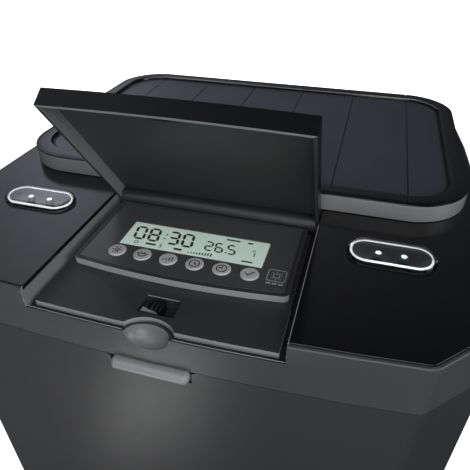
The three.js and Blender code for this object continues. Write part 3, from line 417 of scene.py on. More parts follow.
def second_finish(obj, material, chosen):
    """Gives a further material to the faces that chosen picks from their centres, in the deck
    frame, and their normals."""
    mesh = obj.data
    mesh.materials.append(material)
    count = len(mesh.polygons)
    centres, normals = np.empty(count * 3), np.empty(count * 3)
    mesh.polygons.foreach_get("center", centres)
    mesh.polygons.foreach_get("normal", normals)
    picked = chosen((centres.reshape(-1, 3) - ORIGIN) / MM, normals.reshape(-1, 3))
    index = np.empty(count, int)
    mesh.polygons.foreach_get("material_index", index)
    index[picked] = len(mesh.materials) - 1
    mesh.polygons.foreach_set("material_index", index)


# ---------------------------------------------------------------- materials


def add(tree, kind, inputs=None, **settings):
    """Adds a node, applies its settings, and sets or links each named input."""
    made = tree.nodes.new(kind)
    for name, value in settings.items():
        setattr(made, name, value)
    for name, value in (inputs or {}).items():
        if isinstance(value, bpy.types.NodeSocket):
            tree.links.new(value, made.inputs[name])
        else:
            made.inputs[name].default_value = value
    return made


def rgba(colour, gain=1.0):
    """A colour brightened by gain, for a socket."""
    return (*[min(1.0, c * gain) for c in colour], 1.0)


def blank(name):
    """An empty node material with its output."""
    material = bpy.data.materials.new(name)
    material.use_nodes = True
    material.node_tree.nodes.clear()
    return material, material.node_tree


def output(tree, shader):
    """Ends a material with its shader."""
    add(tree, "ShaderNodeOutputMaterial", {"Surface": shader.outputs[0]})


def mixed(tree, factor, low, high):
    """A colour between low and high; factor, low and high may be sockets."""
    return add(tree, "ShaderNodeMix", {0: factor, 6: low, 7: high}, data_type="RGBA").outputs[2]


def noise(tree, size_mm, detail=2.0, stretch=(1, 1, 1)):
    """Noise whose grains are size_mm across, on the piece's own coordinates."""
    coordinates = add(tree, "ShaderNodeTexCoord").outputs["Object"]
    scaled = add(tree, "ShaderNodeMapping", {"Vector": coordinates, "Scale": stretch})
    settings = {"Vector": scaled.outputs[0], "Scale": 1 / (size_mm * MM), "Detail": detail}
    return add(tree, "ShaderNodeTexNoise", settings).outputs["Fac"]


def ranged(tree, value, low, high, start=0.35, end=0.65):
    """A value between start and end brought to between low and high."""
    settings = {"Value": value, "From Min": start, "From Max": end, "To Min": low, "To Max": high}
    return add(tree, "ShaderNodeMapRange", settings).outputs[0]


EDGE_POINTINESS = (0.505, 0.56)


def moulded(
    name, colour, roughness, grain_mm, depth_um, mottle=0.03, wear_and_edge_highlight=0.25, spread=0.02, ior=1.53, **extra
):
    """An injection-moulded plastic: its tool's grain as bump, slow patches of colour and gloss,
    and convex edges painted lighter, partly as rubbed wear and partly as a painted highlight."""
    material, tree = blank(name)
    patches = noise(tree, 45, 3)
    base = mixed(tree, ranged(tree, patches, 0, 1), rgba(colour, 1 - mottle), rgba(colour, 1 + mottle))
    edges = add(tree, "ShaderNodeNewGeometry").outputs["Pointiness"]
    # Convex edges painted lighter: partly rubbed wear, partly a painted highlight along each edge.
    worn_and_highlit = ranged(tree, edges, 0, wear_and_edge_highlight, *EDGE_POINTINESS)
    base = mixed(tree, worn_and_highlit, base, rgba([c * 2.2 + 0.02 for c in colour]))
    rough = ranged(tree, noise(tree, 9, 4), roughness - spread, roughness + spread)
    grain = noise(tree, grain_mm, 3)
    bump = add(tree, "ShaderNodeBump", {"Height": grain, "Strength": 1.0, "Distance": depth_um * 1e-6})
    sockets = {"Base Color": base, "Roughness": rough, "Normal": bump.outputs[0], "IOR": ior}
    sockets.update(extra)
    output(tree, add(tree, "ShaderNodeBsdfPrincipled", sockets))
    return material


def abs_satin_charcoal(colours):
    """ABS from a spark-eroded tool. The 0.3 mm grit is drawn at 0.9 mm: it breaks up the highlight."""
    return moulded("abs_satin_charcoal", colours.charcoal, 0.42, 0.9, 14, wear_and_edge_highlight=0.6)


def abs_satin_top_painted_lighter(colours):
    """The same ABS painted a shade lighter: painted light on the top housing, which is lit more than the bin.
    """
    return moulded("abs_satin_top_painted_lighter", colours.top, 0.4, 0.9, 14, wear_and_edge_highlight=0.6)


def abs_latch_grey(colours):
    """Light grey ABS, satin, polished a little by fingers."""
    return moulded("abs_latch_grey", colours.latch, 0.33, 0.7, 6, wear_and_edge_highlight=0.15)


def abs_piano_black(colours):
    """ABS from a polished tool: near-black, clear reflections that waver over 9 mm of peel."""
    return moulded("abs_piano_black", colours.gloss, 0.17, 9, 0.6, mottle=0.05, wear_and_edge_highlight=0.1, spread=0.015)


def abs_cover_black(colours):
    """Black ABS, fine-polished but not to a mirror: reflections melt into broad soft patches."""
    return moulded("abs_cover_black", colours.gloss, 0.3, 6, 0.8, mottle=0.04, wear_and_edge_highlight=0, spread=0.02)


def abs_matt_painted_light(colours):
    """ABS left matt from the tool, a light grey that paints soft, even light on the cover's and the bay's
    inner walls.
    """
    return moulded("abs_matt_painted_light", colours.painted_lit_wall, 0.5, 0.8, 14, wear_and_edge_highlight=0)


def abs_satin_grey(colours):
    """Grey ABS, fine-blasted tool: a soft even sheen along the lid's wall and in the scoop, where it is
    painted light.
    """
    return moulded("abs_satin_grey", colours.grey, 0.36, 0.7, 8, wear_and_edge_highlight=0.2)


def abs_painted_light_grey(colours):
    """Lighter grey ABS, fine-blasted: the pale front edge of the display and the tray, painted lighter as
    painted light, and the painted highlight lines.
    """
    return moulded("abs_painted_light_grey", colours.case, 0.4, 0.7, 8, wear_and_edge_highlight=0.15)


def abs_dark_tray(colours):
    """Dark ABS with a fine leather-like tool grain that keeps the tray matt."""
    return moulded("abs_dark_tray", colours.tray, 0.47, 0.8, 12, wear_and_edge_highlight=0.3)


def polycarbonate_film(colours):
    """Back-printed film with a velvet finish: even, a little lighter than the tray."""
    return moulded("polycarbonate_film", colours.film, 0.32, 0.6, 2, mottle=0.03, wear_and_edge_highlight=0, ior=1.58)


def silicone_key(colours):
    """Moulded silicone rubber: soft, matt and slightly dusty."""
    return moulded("silicone_key", colours.key, 0.55, 0.5, 10, wear_and_edge_highlight=0.2, ior=1.43)


def printed_ink(name, code):
    """Pad-printed ink: flat and matt, a few hundredths of a millimetre thick."""
    return moulded(name, linear(code), 0.5, 0.4, 2, mottle=0.08, wear_and_edge_highlight=0)


def liquid_crystal_painted_glow(colours):
    """A reflective display: pale green-grey backing under polished glass in slow and fine patches, with a
    painted glow.
    """
    material, tree = blank("liquid_crystal_painted_glow")
    fine = noise(tree, 0.5, 2)
    wide = noise(tree, 30, 1)
    base = mixed(tree, ranged(tree, wide, 0, 1), rgba(colours.glass, 0.93), rgba(colours.glass, 1.03))
    base = mixed(tree, ranged(tree, fine, 0, 0.12), base, rgba(colours.glass, 0.8))
    sockets = {"Base Color": base, "Roughness": 0.22, "IOR": 1.5, "Coat Weight": 0.3, "Coat Roughness": 0.05}
    # The emission is painted light: a reflective display gives no light of its own.
    sockets.update({"Emission Color": rgba(colours.glass), "Emission Strength": 0.44})
    output(tree, add(tree, "ShaderNodeBsdfPrincipled", sockets))
    return material


def silicon_cell(colours):
    """A silicon wafer under laminate: slate blue, thin printed silver fingers each 2.4 mm, drawn
    0.3 mm wide and faint so that they show, with a slow violet drift across the cell."""
    material, tree = blank("silicon_cell")
    coordinates = add(tree, "ShaderNodeTexCoord").outputs["Object"]
    axes = add(tree, "ShaderNodeSeparateXYZ", {"Vector": coordinates})
    step = add(tree, "ShaderNodeMath", {0: axes.outputs["Y"], 1: 1 / (2.4 * MM)}, operation="MULTIPLY")
    share = add(tree, "ShaderNodeMath", {0: step.outputs[0]}, operation="FRACT")
    finger = add(tree, "ShaderNodeMath", {0: share.outputs[0], 1: 0.12}, operation="LESS_THAN")
    drift = ranged(tree, noise(tree, 60, 2), 0, 1)
    base = mixed(tree, drift, rgba(colours.cell, 0.82), (*linear("53526a"), 1))
    faint = add(tree, "ShaderNodeMath", {0: finger.outputs[0], 1: 0.1}, operation="MULTIPLY")
    base = mixed(tree, faint.outputs[0], base, (*linear("8c8f98"), 1))
    sockets = {"Base Color": base, "Roughness": 0.3, "IOR": 1.5, "Coat Weight": 0.4, "Coat Roughness": 0.1}
    output(tree, add(tree, "ShaderNodeBsdfPrincipled", sockets))
    return material


def solar_glass_pane(colours):
    """Low-iron glass over the cells: mostly clear, with the room's reflection lying on it."""
    material, tree = blank("solar_glass_pane")
    peel = noise(tree, 25, 1)
    bump = add(tree, "ShaderNodeBump", {"Height": peel, "Distance": 4e-6})
    tint = mixed(tree, ranged(tree, noise(tree, 70, 2), 0, 1), (*linear("2a2b33"), 1), (*linear("34353f"), 1))
    sockets = {"Base Color": tint, "Roughness": 0.14, "IOR": 1.52, "Alpha": 0.15, "Normal": bump.outputs[0]}
    output(tree, add(tree, "ShaderNodeBsdfPrincipled", sockets))
    return material


def clear_polycarbonate(colours):
    """Moulded clear polycarbonate: water-clear, with flow waves 6 mm long in its walls."""
    material, tree = blank("clear_polycarbonate")
    bump = add(tree, "ShaderNodeBump", {"Height": noise(tree, 6, 2), "Distance": 2e-5})
    tint = mixed(tree, ranged(tree, noise(tree, 12, 2), 0, 1), (0.96, 0.98, 0.99, 1), (1, 1, 1, 1))
    sockets = {"Base Color": tint, "Roughness": 0.04, "IOR": 1.58, "Transmission Weight": 1.0}
    sockets["Normal"] = bump.outputs[0]
    output(tree, add(tree, "ShaderNodeBsdfPrincipled", sockets))
    return material


def milky_ring_painted_glow(colours):
    """Milky polycarbonate whose glow is painted light, for the bright rim of the window: a bright, slightly
    uneven ring.
    """
    material, tree = blank("milky_ring_painted_glow")
    uneven = ranged(tree, noise(tree, 5, 2), 0, 1)
    base = mixed(tree, uneven, (*linear("e6eaec"), 1), (1, 1, 1, 1))
    sockets = {"Base Color": base, "Roughness": 0.2, "IOR": 1.58}
    # The emission is painted light: it stands for a highlight on the window's rim, not a lamp.
    sockets.update({"Emission Color": base, "Emission Strength": 0.7})
    output(tree, add(tree, "ShaderNodeBsdfPrincipled", sockets))
    return material


def dark_chrome(colours):
    """Vacuum-plated reflector, smoked: dark between its highlights, with waves from the moulding."""
    material, tree = blank("dark_chrome")
    bump = add(tree, "ShaderNodeBump", {"Height": noise(tree, 4, 2), "Distance": 1e-4})
    base = mixed(tree, ranged(tree, noise(tree, 9, 3), 0, 1), (*linear("3c3d40"), 1), (*linear("5a5b5e"), 1))
    sockets = {"Base Color": base, "Metallic": 1.0, "Roughness": 0.22, "Normal": bump.outputs[0]}
    output(tree, add(tree, "ShaderNodeBsdfPrincipled", sockets))
    return material


def led_phosphor(colours):
    """White light-emitting diode: milky epoxy with a low glow, the brightest spot in the window."""
    material, tree = blank("led_phosphor")
    base = mixed(tree, ranged(tree, noise(tree, 1.5, 1), 0, 1), (*linear("f2f3ee"), 1), (1, 1, 1, 1))
    sockets = {"Base Color": base, "Roughness": 0.25, "IOR": 1.54}
    sockets.update({"Emission Color": base, "Emission Strength": 1.2})
    output(tree, add(tree, "ShaderNodeBsdfPrincipled", sockets))
    return material


def epoxy_board(colours):
    """Glass-epoxy board under green solder mask, its copper tracks showing as lighter 1.6 mm bands."""
    material, tree = blank("epoxy_board")
    coordinates = add(tree, "ShaderNodeTexCoord").outputs["Object"]
    tracks = add(tree, "ShaderNodeTexBrick", {"Vector": coordinates, "Scale": 120.0, "Mortar Size": 0.03})
    base = mixed(tree, tracks.outputs["Fac"], (*linear("1c4f35"), 1), (*linear("3d7a55"), 1))
    sockets = {"Base Color": base, "Roughness": 0.35, "IOR": 1.5}
    output(tree, add(tree, "ShaderNodeBsdfPrincipled", sockets))
    return material


def steel(name, code, roughness, line_mm):
    """Turned or rolled steel: fine lines round the work, drawn at line_mm, that stretch highlights."""
    material, tree = blank(name)
    lines = noise(tree, line_mm, 3, (1, 1, 12))
    base = mixed(tree, ranged(tree, lines, 0, 1), rgba(linear(code), 0.85), rgba(linear(code), 1.1))
    rough = ranged(tree, lines, roughness - 0.08, roughness + 0.08)
    bump = add(tree, "ShaderNodeBump", {"Height": lines, "Distance": 1e-5})
    sockets = {"Base Color": base, "Metallic": 1.0, "Roughness": rough, "Normal": bump.outputs[0]}
    output(tree, add(tree, "ShaderNodeBsdfPrincipled", sockets))
    return material


def moulded_rubber(colours):
    """Natural rubber: dull, with a coarse 1.5 mm grip grain."""
    return moulded("moulded_rubber", linear("1b1b1c"), 0.85, 1.5, 60, wear_and_edge_highlight=0.1)


def polypropylene_white(colours):
    """Food-grade polypropylene: waxy white, faintly see-through at thin edges."""
    return moulded(
        "polypropylene_white", linear("d6d8d4"), 0.38, 1.2, 12, wear_and_edge_highlight=0.1, ior=1.49,
        **{"Subsurface Weight": 0.15, "Subsurface Radius": (0.004, 0.004, 0.003)},
    )


def acetal_grey(colours):
    """Moulded acetal: slippery, a low waxy sheen."""
    return moulded("acetal_grey", linear("808386"), 0.3, 1.0, 10, ior=1.48)


def shrink_film(colours):
    """Heat-shrunk film round a battery: glossy with soft 8 mm creases."""
    return moulded("shrink_film", linear("2b4a75"), 0.22, 8, 120, wear_and_edge_highlight=0)


def studio_floor(colours):
    """Seamless paper: matt and pale with a barely visible 3 mm tooth."""
    glow = {"Emission Color": rgba(colours.floor), "Emission Strength": 1.1}
    return moulded("studio_paper", colours.floor, 0.9, 3, 20, mottle=0.01, wear_and_edge_highlight=0, **glow)


FINISHES = {
    "charcoal": abs_satin_charcoal,
    "top": abs_satin_top_painted_lighter,
    "latch": abs_latch_grey,
    "gloss": abs_piano_black,
    "cover": abs_cover_black,
    "painted_lit_wall": abs_matt_painted_light,
    "grey": abs_satin_grey,
    "case": abs_painted_light_grey,
    "tray": abs_dark_tray,
    "film": polycarbonate_film,
    "key": silicone_key,
    "dark_ink": lambda colours: printed_ink("dark_key_ink", "35373a"),
    "pale_ink": lambda colours: printed_ink("pale_film_ink", "b4b6b8"),
    "faint_ink": lambda colours: printed_ink("faint_tray_ink", "3b3c3e"),
    "crystal_ink": lambda colours: printed_ink("crystal_segments", "27352f"),
    "display": liquid_crystal_painted_glow,
    "cell": silicon_cell,
    "pane": solar_glass_pane,
    "clear": clear_polycarbonate,
    "painted_rim_glow": milky_ring_painted_glow,
    "chrome": dark_chrome,
    "led": led_phosphor,
    "board": epoxy_board,
    "pin": lambda colours: steel("turned_stainless", "b2b5b8", 0.28, 0.6),
    "can": lambda colours: steel("zinc_plated_can", "a0a3a6", 0.36, 1.2),
    "rubber": moulded_rubber,
    "food": polypropylene_white,
    "acetal": acetal_grey,
    "shrink": shrink_film,
    "floor": studio_floor,
}
made_finishes = {}


def finish(key):
    """The material of that key, made when it is first asked for."""
    if key not in made_finishes:
        made_finishes[key] = FINISHES[key](bpy.context.scene.feeder_colours)
    return made_finishes[key]


def repaint(node, key):
    """A CAD node that keeps its own shape takes a finish."""
    frame["nodes"][node].material_slots[0].material = finish(key)


def sizes_mm():
    """The user's sizes in millimetres, by name."""
    sizes = bpy.context.scene.feeder_sizes
    return {name: getattr(sizes, name) / MM for name in FeederSizes.__annotations__}


# ---------------------------------------------------------------- stage

CAMERA_PLACE = (81.74, -135.2, 151.88)
CAMERA_TURN = (55.0355, 0.0, 16.0446)
CAMERA_LENS = 36.48
CAMERA_CLIP = (0.01, 100)

# Lights: name, place and aim in the deck frame, width and height in metres, watts, and whether
# it shows in reflections.
LIGHTS = (
    ("strip", (380, -860, 830), (0, 60, 0), 1.1, 0.45, 4.5, True),
    ("front", (250, -1000, 150), (0, 60, 0), 0.6, 0.6, 4.0, True),
    ("right", (1000, -150, 330), (0, 60, 0), 0.5, 0.5, 3.2, True),
    ("low_glow", (-72, -150, -235), (5, 0, -50), 0.1, 0.08, 0.078, True),
    ("rear", (-420, 1350, 90), (0, 200, -120), 0.9, 0.6, 7.0, False),
)

# The studio's even light, and what reflections see of its walls: the level for each x of the
# direction, with the ramp's two ends first, tinted, and faded by the direction's z at the ceiling
# (full below the first, its share above the second) and at the horizon (nothing below the first).
FILL = 0.075
BANK = (
    (-1.0, 0.2),
    (1.0, 0.07),
    (-0.75, 0.36),
    (-0.64, 0.52),
    (-0.56, 1.0),
    (-0.48, 0.8),
    (-0.38, 0.36),
    (-0.1, 0.2),
    (0.05, 0.15),
    (0.25, 0.08),
)
BANK_TINT = (0.93, 0.95, 1.08)
CEILING = (0.56, 0.8)
CEILING_SHARE = 0.3
HORIZON = (-0.05, 0.5)

# Soft round lights that only reflections see: direction, full within and nothing beyond these
# angles in degrees, and level.
GLOWS = (
    ((-0.55, -0.6, -0.58), 3, 18, 0.8),
    ((0.05, -0.74, -0.67), 3, 20, 0.4),
    ((-0.336, -0.58, 0.74), 2, 11, 5.0),
)


def area_light(name, spot, target, width, height, watts):
    """A rectangular light at spot that faces target, hidden from the camera."""
    light = bpy.data.lights.new(name, "AREA")
    light.shape = "RECTANGLE"
    light.size, light.size_y = width, height
    light.energy = watts
    obj = bpy.data.objects.new(name, light)
    obj.location = spot
    obj.rotation_euler = (Vector(target) - Vector(spot)).to_track_quat("-Z", "Y").to_euler()
    obj.visible_camera = False
    bpy.context.scene.collection.objects.link(obj)
    return obj


class FEEDER_OT_stage(Operator):
    """Adds the floor, the studio lights and the camera"""

    bl_idname = "feeder.stage"
    bl_label = "Stage"

    def execute(self, context):
        scene = context.scene
        reach = scene.feeder_sizes.floor_reach
        floor = bpy.data.meshes.new("floor")
        corners = [(-reach, -reach, 0), (reach, -reach, 0), (reach, reach, 0), (-reach, reach, 0)]
        floor.from_pydata(corners, [], [(0, 1, 2, 3)])
        floor.materials.append(finish("floor"))
        obj = bpy.data.objects.new("floor", floor)
        obj.visible_glossy = False
        obj.visible_diffuse = False
        scene.collection.objects.link(obj)

        camera = bpy.data.cameras.new("camera")
        camera.lens = CAMERA_LENS
        camera.sensor_width = 36
        camera.clip_start, camera.clip_end = CAMERA_CLIP
        eye = bpy.data.objects.new("camera", camera)
        eye.location = place(CAMERA_PLACE)
        eye.rotation_euler = [math.radians(turn) for turn in CAMERA_TURN]
        scene.collection.objects.link(eye)
        scene.camera = eye

        self.sky(scene)
        for name, spot, aim, width, height, watts, reflected in LIGHTS:
            light = area_light(name, place(spot), place(aim), width, height, watts)
            light.visible_glossy = reflected
        scene.view_settings.view_transform = "Standard"
        return {"FINISHED"}

    def sky(self, scene):
        """A studio in the round: even light for what is lit. For reflections a bank of light low in
        the left rear, fading to a dark right wall and ceiling, and the soft round glows."""
        world = bpy.data.worlds.new("studio")
        world.use_nodes = True
        tree = world.node_tree
        tree.nodes.clear()
        direction = add(tree, "ShaderNodeTexCoord").outputs["Generated"]
        axes = add(tree, "ShaderNodeSeparateXYZ", {"Vector": direction})
        total = self.walls(tree, axes.outputs["X"], axes.outputs["Z"])
        for toward, inner, outer, level in GLOWS:
            toward = unit(np.array(toward))
            near = add(tree, "ShaderNodeVectorMath", {0: direction, 1: toward}, operation="DOT_PRODUCT")
            reach = [math.cos(math.radians(angle)) for angle in (outer, inner)]
            glow = self.faded(tree, near.outputs["Value"], reach, 0, level)
            total = add(tree, "ShaderNodeVectorMath", {0: total, 1: glow}).outputs[0]
        paths = add(tree, "ShaderNodeLightPath")
        colour = mixed(tree, paths.outputs["Is Glossy Ray"], (FILL, FILL, FILL, 1), total)
        colour = mixed(tree, paths.outputs["Is Camera Ray"], colour, (1, 1, 1, 1))
        background = add(tree, "ShaderNodeBackground", {"Color": colour})
        add(tree, "ShaderNodeOutputWorld", {"Surface": background.outputs[0]})
        scene.world = world

    def walls(self, tree, across, upward):
        """The bank's colour for the direction's x, times the shares that its z leaves."""
        share = add(tree, "ShaderNodeMapRange", {"Value": across, "From Min": -1.0, "From Max": 1.0})
        bank = add(tree, "ShaderNodeValToRGB", {"Fac": share.outputs[0]})
        ramp = bank.color_ramp
        ramp.interpolation = "B_SPLINE"
        ends = (ramp.elements[0], ramp.elements[1])
        for i, (position, level) in enumerate(BANK):
            stop = ends[i] if i < 2 else ramp.elements.new((position + 1) / 2)
            stop.color = (*[level * tint for tint in BANK_TINT], 1)
        shares = {
            0: self.faded(tree, upward, CEILING, 1, CEILING_SHARE),
            1: self.faded(tree, upward, HORIZON, 0, 1),
        }
        both = add(tree, "ShaderNodeMath", shares, operation="MULTIPLY").outputs[0]
        scaled = {0: bank.outputs[0], "Scale": both}
        return add(tree, "ShaderNodeVectorMath", scaled, operation="SCALE").outputs[0]

    def faded(self, tree, value, reach, low, high):
        """A smooth step from low to high as the value crosses the reach."""
        settings = {"Value": value, "From Min": reach[0], "From Max": reach[1], "To Min": low, "To Max": high}
        return add(tree, "ShaderNodeMapRange", settings, interpolation_type="SMOOTHSTEP").outputs[0]


# ---------------------------------------------------------------- casing


class FEEDER_OT_casing(Operator):
    """Rounds the edges of the bin, the top housing, the deck and the plates"""

    bl_idname = "feeder.casing"
    bl_label = "Casing"

    def execute(self, context):
        edge = context.scene.feeder_sizes.edge
        softened("bin_shell", edge, finish("charcoal"))
        housing = softened("top_housing", edge, finish("top"))
        # The scoop takes a lighter grey: painted light in the bowl.
        second_finish(housing, finish("grey"), self.scoop)
        # The bay's side walls take a light grey: painted light.
        second_finish(housing, finish("painted_lit_wall"), self.lit_bay_wall)
        softened("deck_plate", edge * 0.6, finish("gloss"))
        softened("underside_plate", edge * 0.6, finish("tray"))
        softened("base_plate", edge, finish("tray"))
        softened("power_socket", edge * 0.4, finish("tray"))
        for i in range(1, 5):
            softened(f"foot_{i}", edge, finish("rubber"), 3)
            repaint(f"base_screw_{i}", "pin")
        return {"FINISHED"}


    def scoop(self, at, way):
        """The finger scoop, half an ellipsoid hollowed from the lip: faces on it that look inwards, which
        take a lighter grey as painted light.
        """
        centred = at - np.array((0, 0, SCOOP_TOP))
        scaled = centred / np.array(SCOOP_HALF)
        level = (scaled**2).sum(-1)
        inwards = (way * scaled / np.array(SCOOP_HALF)).sum(-1) < 0
        return (abs(level - 1) < 0.12) & (centred[:, 2] < -0.2) & inwards

    def lit_bay_wall(self, at, way):
        """The bay's upright side walls, which look along x towards the middle; they take a light grey as
        painted light.
        """
        return (way[:, 0] * np.sign(at[:, 0]) < -0.7) & (abs(abs(at[:, 0]) - BAY_HALF) < 1) & (at[:, 2] > -14)


# ---------------------------------------------------------------- solar lid


def lid_outline(radius):
    """The lid seen from above."""
    return rectangle(LID_LEFT, LID_RIGHT, LID_FRONT, LID_BACK, radius, 24)


class FEEDER_OT_solar_lid(Operator):
    """Builds the lid's wall, the eight lengths of its frame, the glass and the cells"""

    bl_idname = "feeder.solar_lid"
    bl_label = "Solar lid"

    def execute(self, context):
        s = sizes_mm()
        outline = lid_outline(s["lid_radius"])
        wall = span("solar_base", 2)
        band = carry(outline, box_profile(-3, 0, wall[0], wall[1], 0.5))
        surface("lid_wall", band, "top", finish("grey"), ("solar_base",))
        inner = outline - outward(outline) * 3.2
        backing = slab(inner, CELL_LOW - GAP - 2.5, CELL_LOW - GAP, 0.2)
        surface("panel_backing", backing, "top", finish("tray"))
        surface("lid_frame", self.frame(s), "top", finish("gloss"), ("solar_frame",))
        pane = outline - outward(outline) * (s["frame_width"] + GAP)
        glass = slab(pane, GLASS_LOW, GLASS_TOP, 0.35)
        surface("glass_pane", glass, "top", finish("pane"), ("solar_glass",))
        # A light grey bead painted as the highlight along the glass's far edge.
        surface("lid_painted_highlight", self.painted_far_edge_highlight(s), "top", finish("case"))
        for i in range(1, 8):
            repaint(f"solar_cell_{i}", "cell")
        return {"FINISHED"}

    def painted_far_edge_highlight(self, s):
        """A painted highlight: the bright line where the glass meets the far side of the frame, round the
        right corner.
        """
        radius, width = s["lid_radius"], s["frame_width"] + 0.05
        right = arc_points(LID_RIGHT - radius, LID_BACK - radius, radius - width, 15, 90, 16)
        left = arc_points(LID_LEFT + radius, LID_BACK - radius, radius - width, 90, 130, 10)
        path = np.concatenate((right, left))
        return bead(np.column_stack((path, np.full(len(path), GLASS_TOP + 0.2))), 0.3)

    def frame(self, s):
        """The frame's section carried along each corner arc and each straight length between."""
        width, low = s["frame_width"], LID_HIGH + GAP
        top = FRAME_TOP
        profile = rounded([
            (-3.3, CELL_LOW - 0.1, 0, 1),
            (-3.3, low, 0, 1),
            (0, low, 0.15, 2),
            (0, low + 0.55, 0.35, 4),
            (-3.5, top - 0.28, 4, 4),
            (-width * 0.78, top, 2, 3),
            (-width + 0.75, top - 0.1, 0.2, 3),
            (-width, GLASS_TOP + 0.05, 0, 1),
            (-width, CELL_LOW - 0.1, 0, 1),
        ])
        radius = s["lid_radius"]
        middles = [
            (LID_RIGHT - radius, LID_FRONT + radius, -90),
            (LID_RIGHT - radius, LID_BACK - radius, 0),
            (LID_LEFT + radius, LID_BACK - radius, 90),
            (LID_LEFT + radius, LID_FRONT + radius, 180),
        ]
        arcs = [arc_points(x, y, radius, start, start + 90, 24) for x, y, start in middles]
        parts = [carry(arc, profile, False) for arc in arcs]
        for i, arc in enumerate(arcs):
            start, end = arc[-1], arcs[(i + 1) % 4][0]
            along = unit(end - start) * s["seam"]
            parts.append(carry(np.array((start + along, end - along)), profile, False))
        return joined(parts)


# ---------------------------------------------------------------- control bay


FORWARD = -0.3
BEAD = 0.2
FINE_BEAD = 0.15
EMBLEM_PLACE = (50.3, 51.6)
MARK_PLACE = (-21.0, 19.0)


class FEEDER_OT_control_bay(Operator):
    """Builds the tray, the display module, the power switch and the prints on them"""

    bl_idname = "feeder.control_bay"
    bl_label = "Control bay"

    def execute(self, context):
        sizes = context.scene.feeder_sizes
        tray = softened("control_tray", sizes.fine_edge * 1.4, finish("tray"))
        # The tray's and the display case's forward faces take a lighter grey: painted light from the front.
        second_finish(tray, finish("case"), self.tray_front)
        case = softened("module_case", sizes.fine_edge, finish("tray"))
        second_finish(case, finish("case"), self.lit_case_front)
        softened("module_overlay", sizes.fine_edge * 0.4, finish("film"))
        softened("switch_body", sizes.fine_edge, finish("tray"))
        surface("knob_cap", self.knob(), "knob", finish("gloss"), ("power_knob",))
        surface("film_emblem", self.emblem(sizes_mm()["stroke"]), "top", finish("pale_ink"))
        # Light grey beads painted as highlights along the bay's edges.
        surface("bay_painted_highlights", self.painted_edge_highlights(), "top", finish("case"))
        # Light grey pieces painted as highlights at the switch's opening.
        surface("switch_painted_highlights", self.ramp(), "top", finish("case"))
        surface("power_mark", self.power_mark(), "top", finish("faint_ink"))
        for node in ("main_board", "key_board"):
            repaint(node, "board")
        return {"FINISHED"}

    def tray_front(self, at, way):
        """The tray's front edge: faces that look forwards, at the height of its plate; painted lighter as
        painted light.
        """
        low, high = span("control_tray", 2)
        middle, half = (low + high) / 2, (high - low) / 2
        return (way[:, 1] < FORWARD) & (at[:, 1] < 20) & (abs(at[:, 2] - middle) < half)

    def lit_case_front(self, at, way):
        """The display case's front face, painted lighter as painted light."""
        return (way[:, 1] < FORWARD) & (at[:, 1] < 40)

    def painted_edge_highlights(self):
        """Painted highlights along the bay's edge: on the lip on both sides of the scoop, up its two corners
        and back along the right edge of the deck; and a finer one along the tray's right edge."""
        half, lip, top = BAY_HALF, span("control_tray", 2)[1] - LIP_DROP, -0.05
        side = np.linspace(half, SCOOP_RIM, 16)
        run = np.stack((side, LIP_INSET + FRONT_BOW * side**2, np.full(16, lip)), -1)
        corner = [(half, 3.6, top), (half, 1.9, -2.2), (half, 1.75, lip * 0.6)]
        back = [(half, y, top) for y in (BAY_BACK, BAY_BACK * 0.5)]
        left = np.concatenate((corner, run)) * np.array((-1, 1, 1))
        tray_right, tray_front = span("control_tray", 0)[1], span("control_tray", 1)[0]
        tray_high = span("control_tray", 2)[1]
        tray = [(tray_right - 0.1, y, tray_high + 0.02) for y in (33, 18, tray_front + 1)]
        right = np.concatenate((back, corner, run))
        return joined((bead(right, BEAD), bead(left, BEAD), bead(tray, FINE_BEAD)))

    def ramp(self):
        """A painted highlight along the far edge of the switch's opening, and the small ramp in its near left
        corner, painted light grey as a highlight.
        """
        left, right = span("switch_body", 0)
        front, back = span("switch_body", 1)
        high = span("control_tray", 2)[1]
        edge = bead([(left + 1, back - 1, high), (0, back - 1, high), (right - 1, back - 1, high)], 0.22)
        corners = np.array(((left + 1.2, front + 1.4), (left + 10, front + 1.4), (left + 1.6, front + 4)))
        return joined((edge, flat(corners, high - 1.6, high - 0.7)))

    def knob(self):
        """A block with three grip ridges across its top, whose height follows three cosine waves."""
        left, right = span("power_knob", 0)
        front, back = span("power_knob", 1)
        low, high = span("power_knob", 2)
        x = np.linspace(left, right, 41)
        wave = high - 0.25 * (0.5 - 0.5 * np.cos((x - left) / (right - left) * 2 * math.pi * 3))
        wave[[0, -1]] -= 0.5
        profile = np.concatenate((np.stack((x, wave), -1)[::-1], [(left, low), (right, low)]))
        return carry(np.array(((0.0, front), (0.0, back))), profile, False)

    def emblem(self, width):
        """A sun over a panel, as thin print on the film: rays, a ring and three bars."""
        low = span("module_overlay", 2)[1] + 0.01
        high = low + PRINT_DEPTH
        x, y = EMBLEM_PLACE
        parts = [stroke(ellipse(x, y, 1.7, 1.7, 40), width * 0.8, low, high, True)]
        for turn in range(0, 360, 45):
            ray = np.array((math.cos(math.radians(turn)), math.sin(math.radians(turn))))
            middle = np.array((x, y))
            parts.append(stroke(np.array((middle + ray * 2.5, middle + ray * 3.5)), width * 0.7, low, high))
        panel = rectangle(x - 4.7, x + 4.7, y - 4.4, y + 4.6, 1.2, 6)
        parts.append(stroke(panel, width * 0.8, low, high, True))
        for i in range(3):
            left = x - 4.4 + i * 3.2
            parts.append(stroke(np.array(((left, y - 6.4), (left + 2.4, y - 6.4))), 1.1, low, high))
        return joined(parts)

    def power_mark(self):
        """The standby sign beside the switch: an open ring and an upright bar."""
        low = span("control_tray", 2)[1] + 0.01
        high = low + PRINT_DEPTH
        x, y = MARK_PLACE
        lines = (
            arc_points(x, y, 2.2, 125, 415, 32),
            np.array(((x, y + 0.6), (x, y + 3.2))),
            np.array(((x + 4.5, y), (x + 6.5, y))),
        )
        return joined([stroke(line, 0.5, low, high) for line in lines])


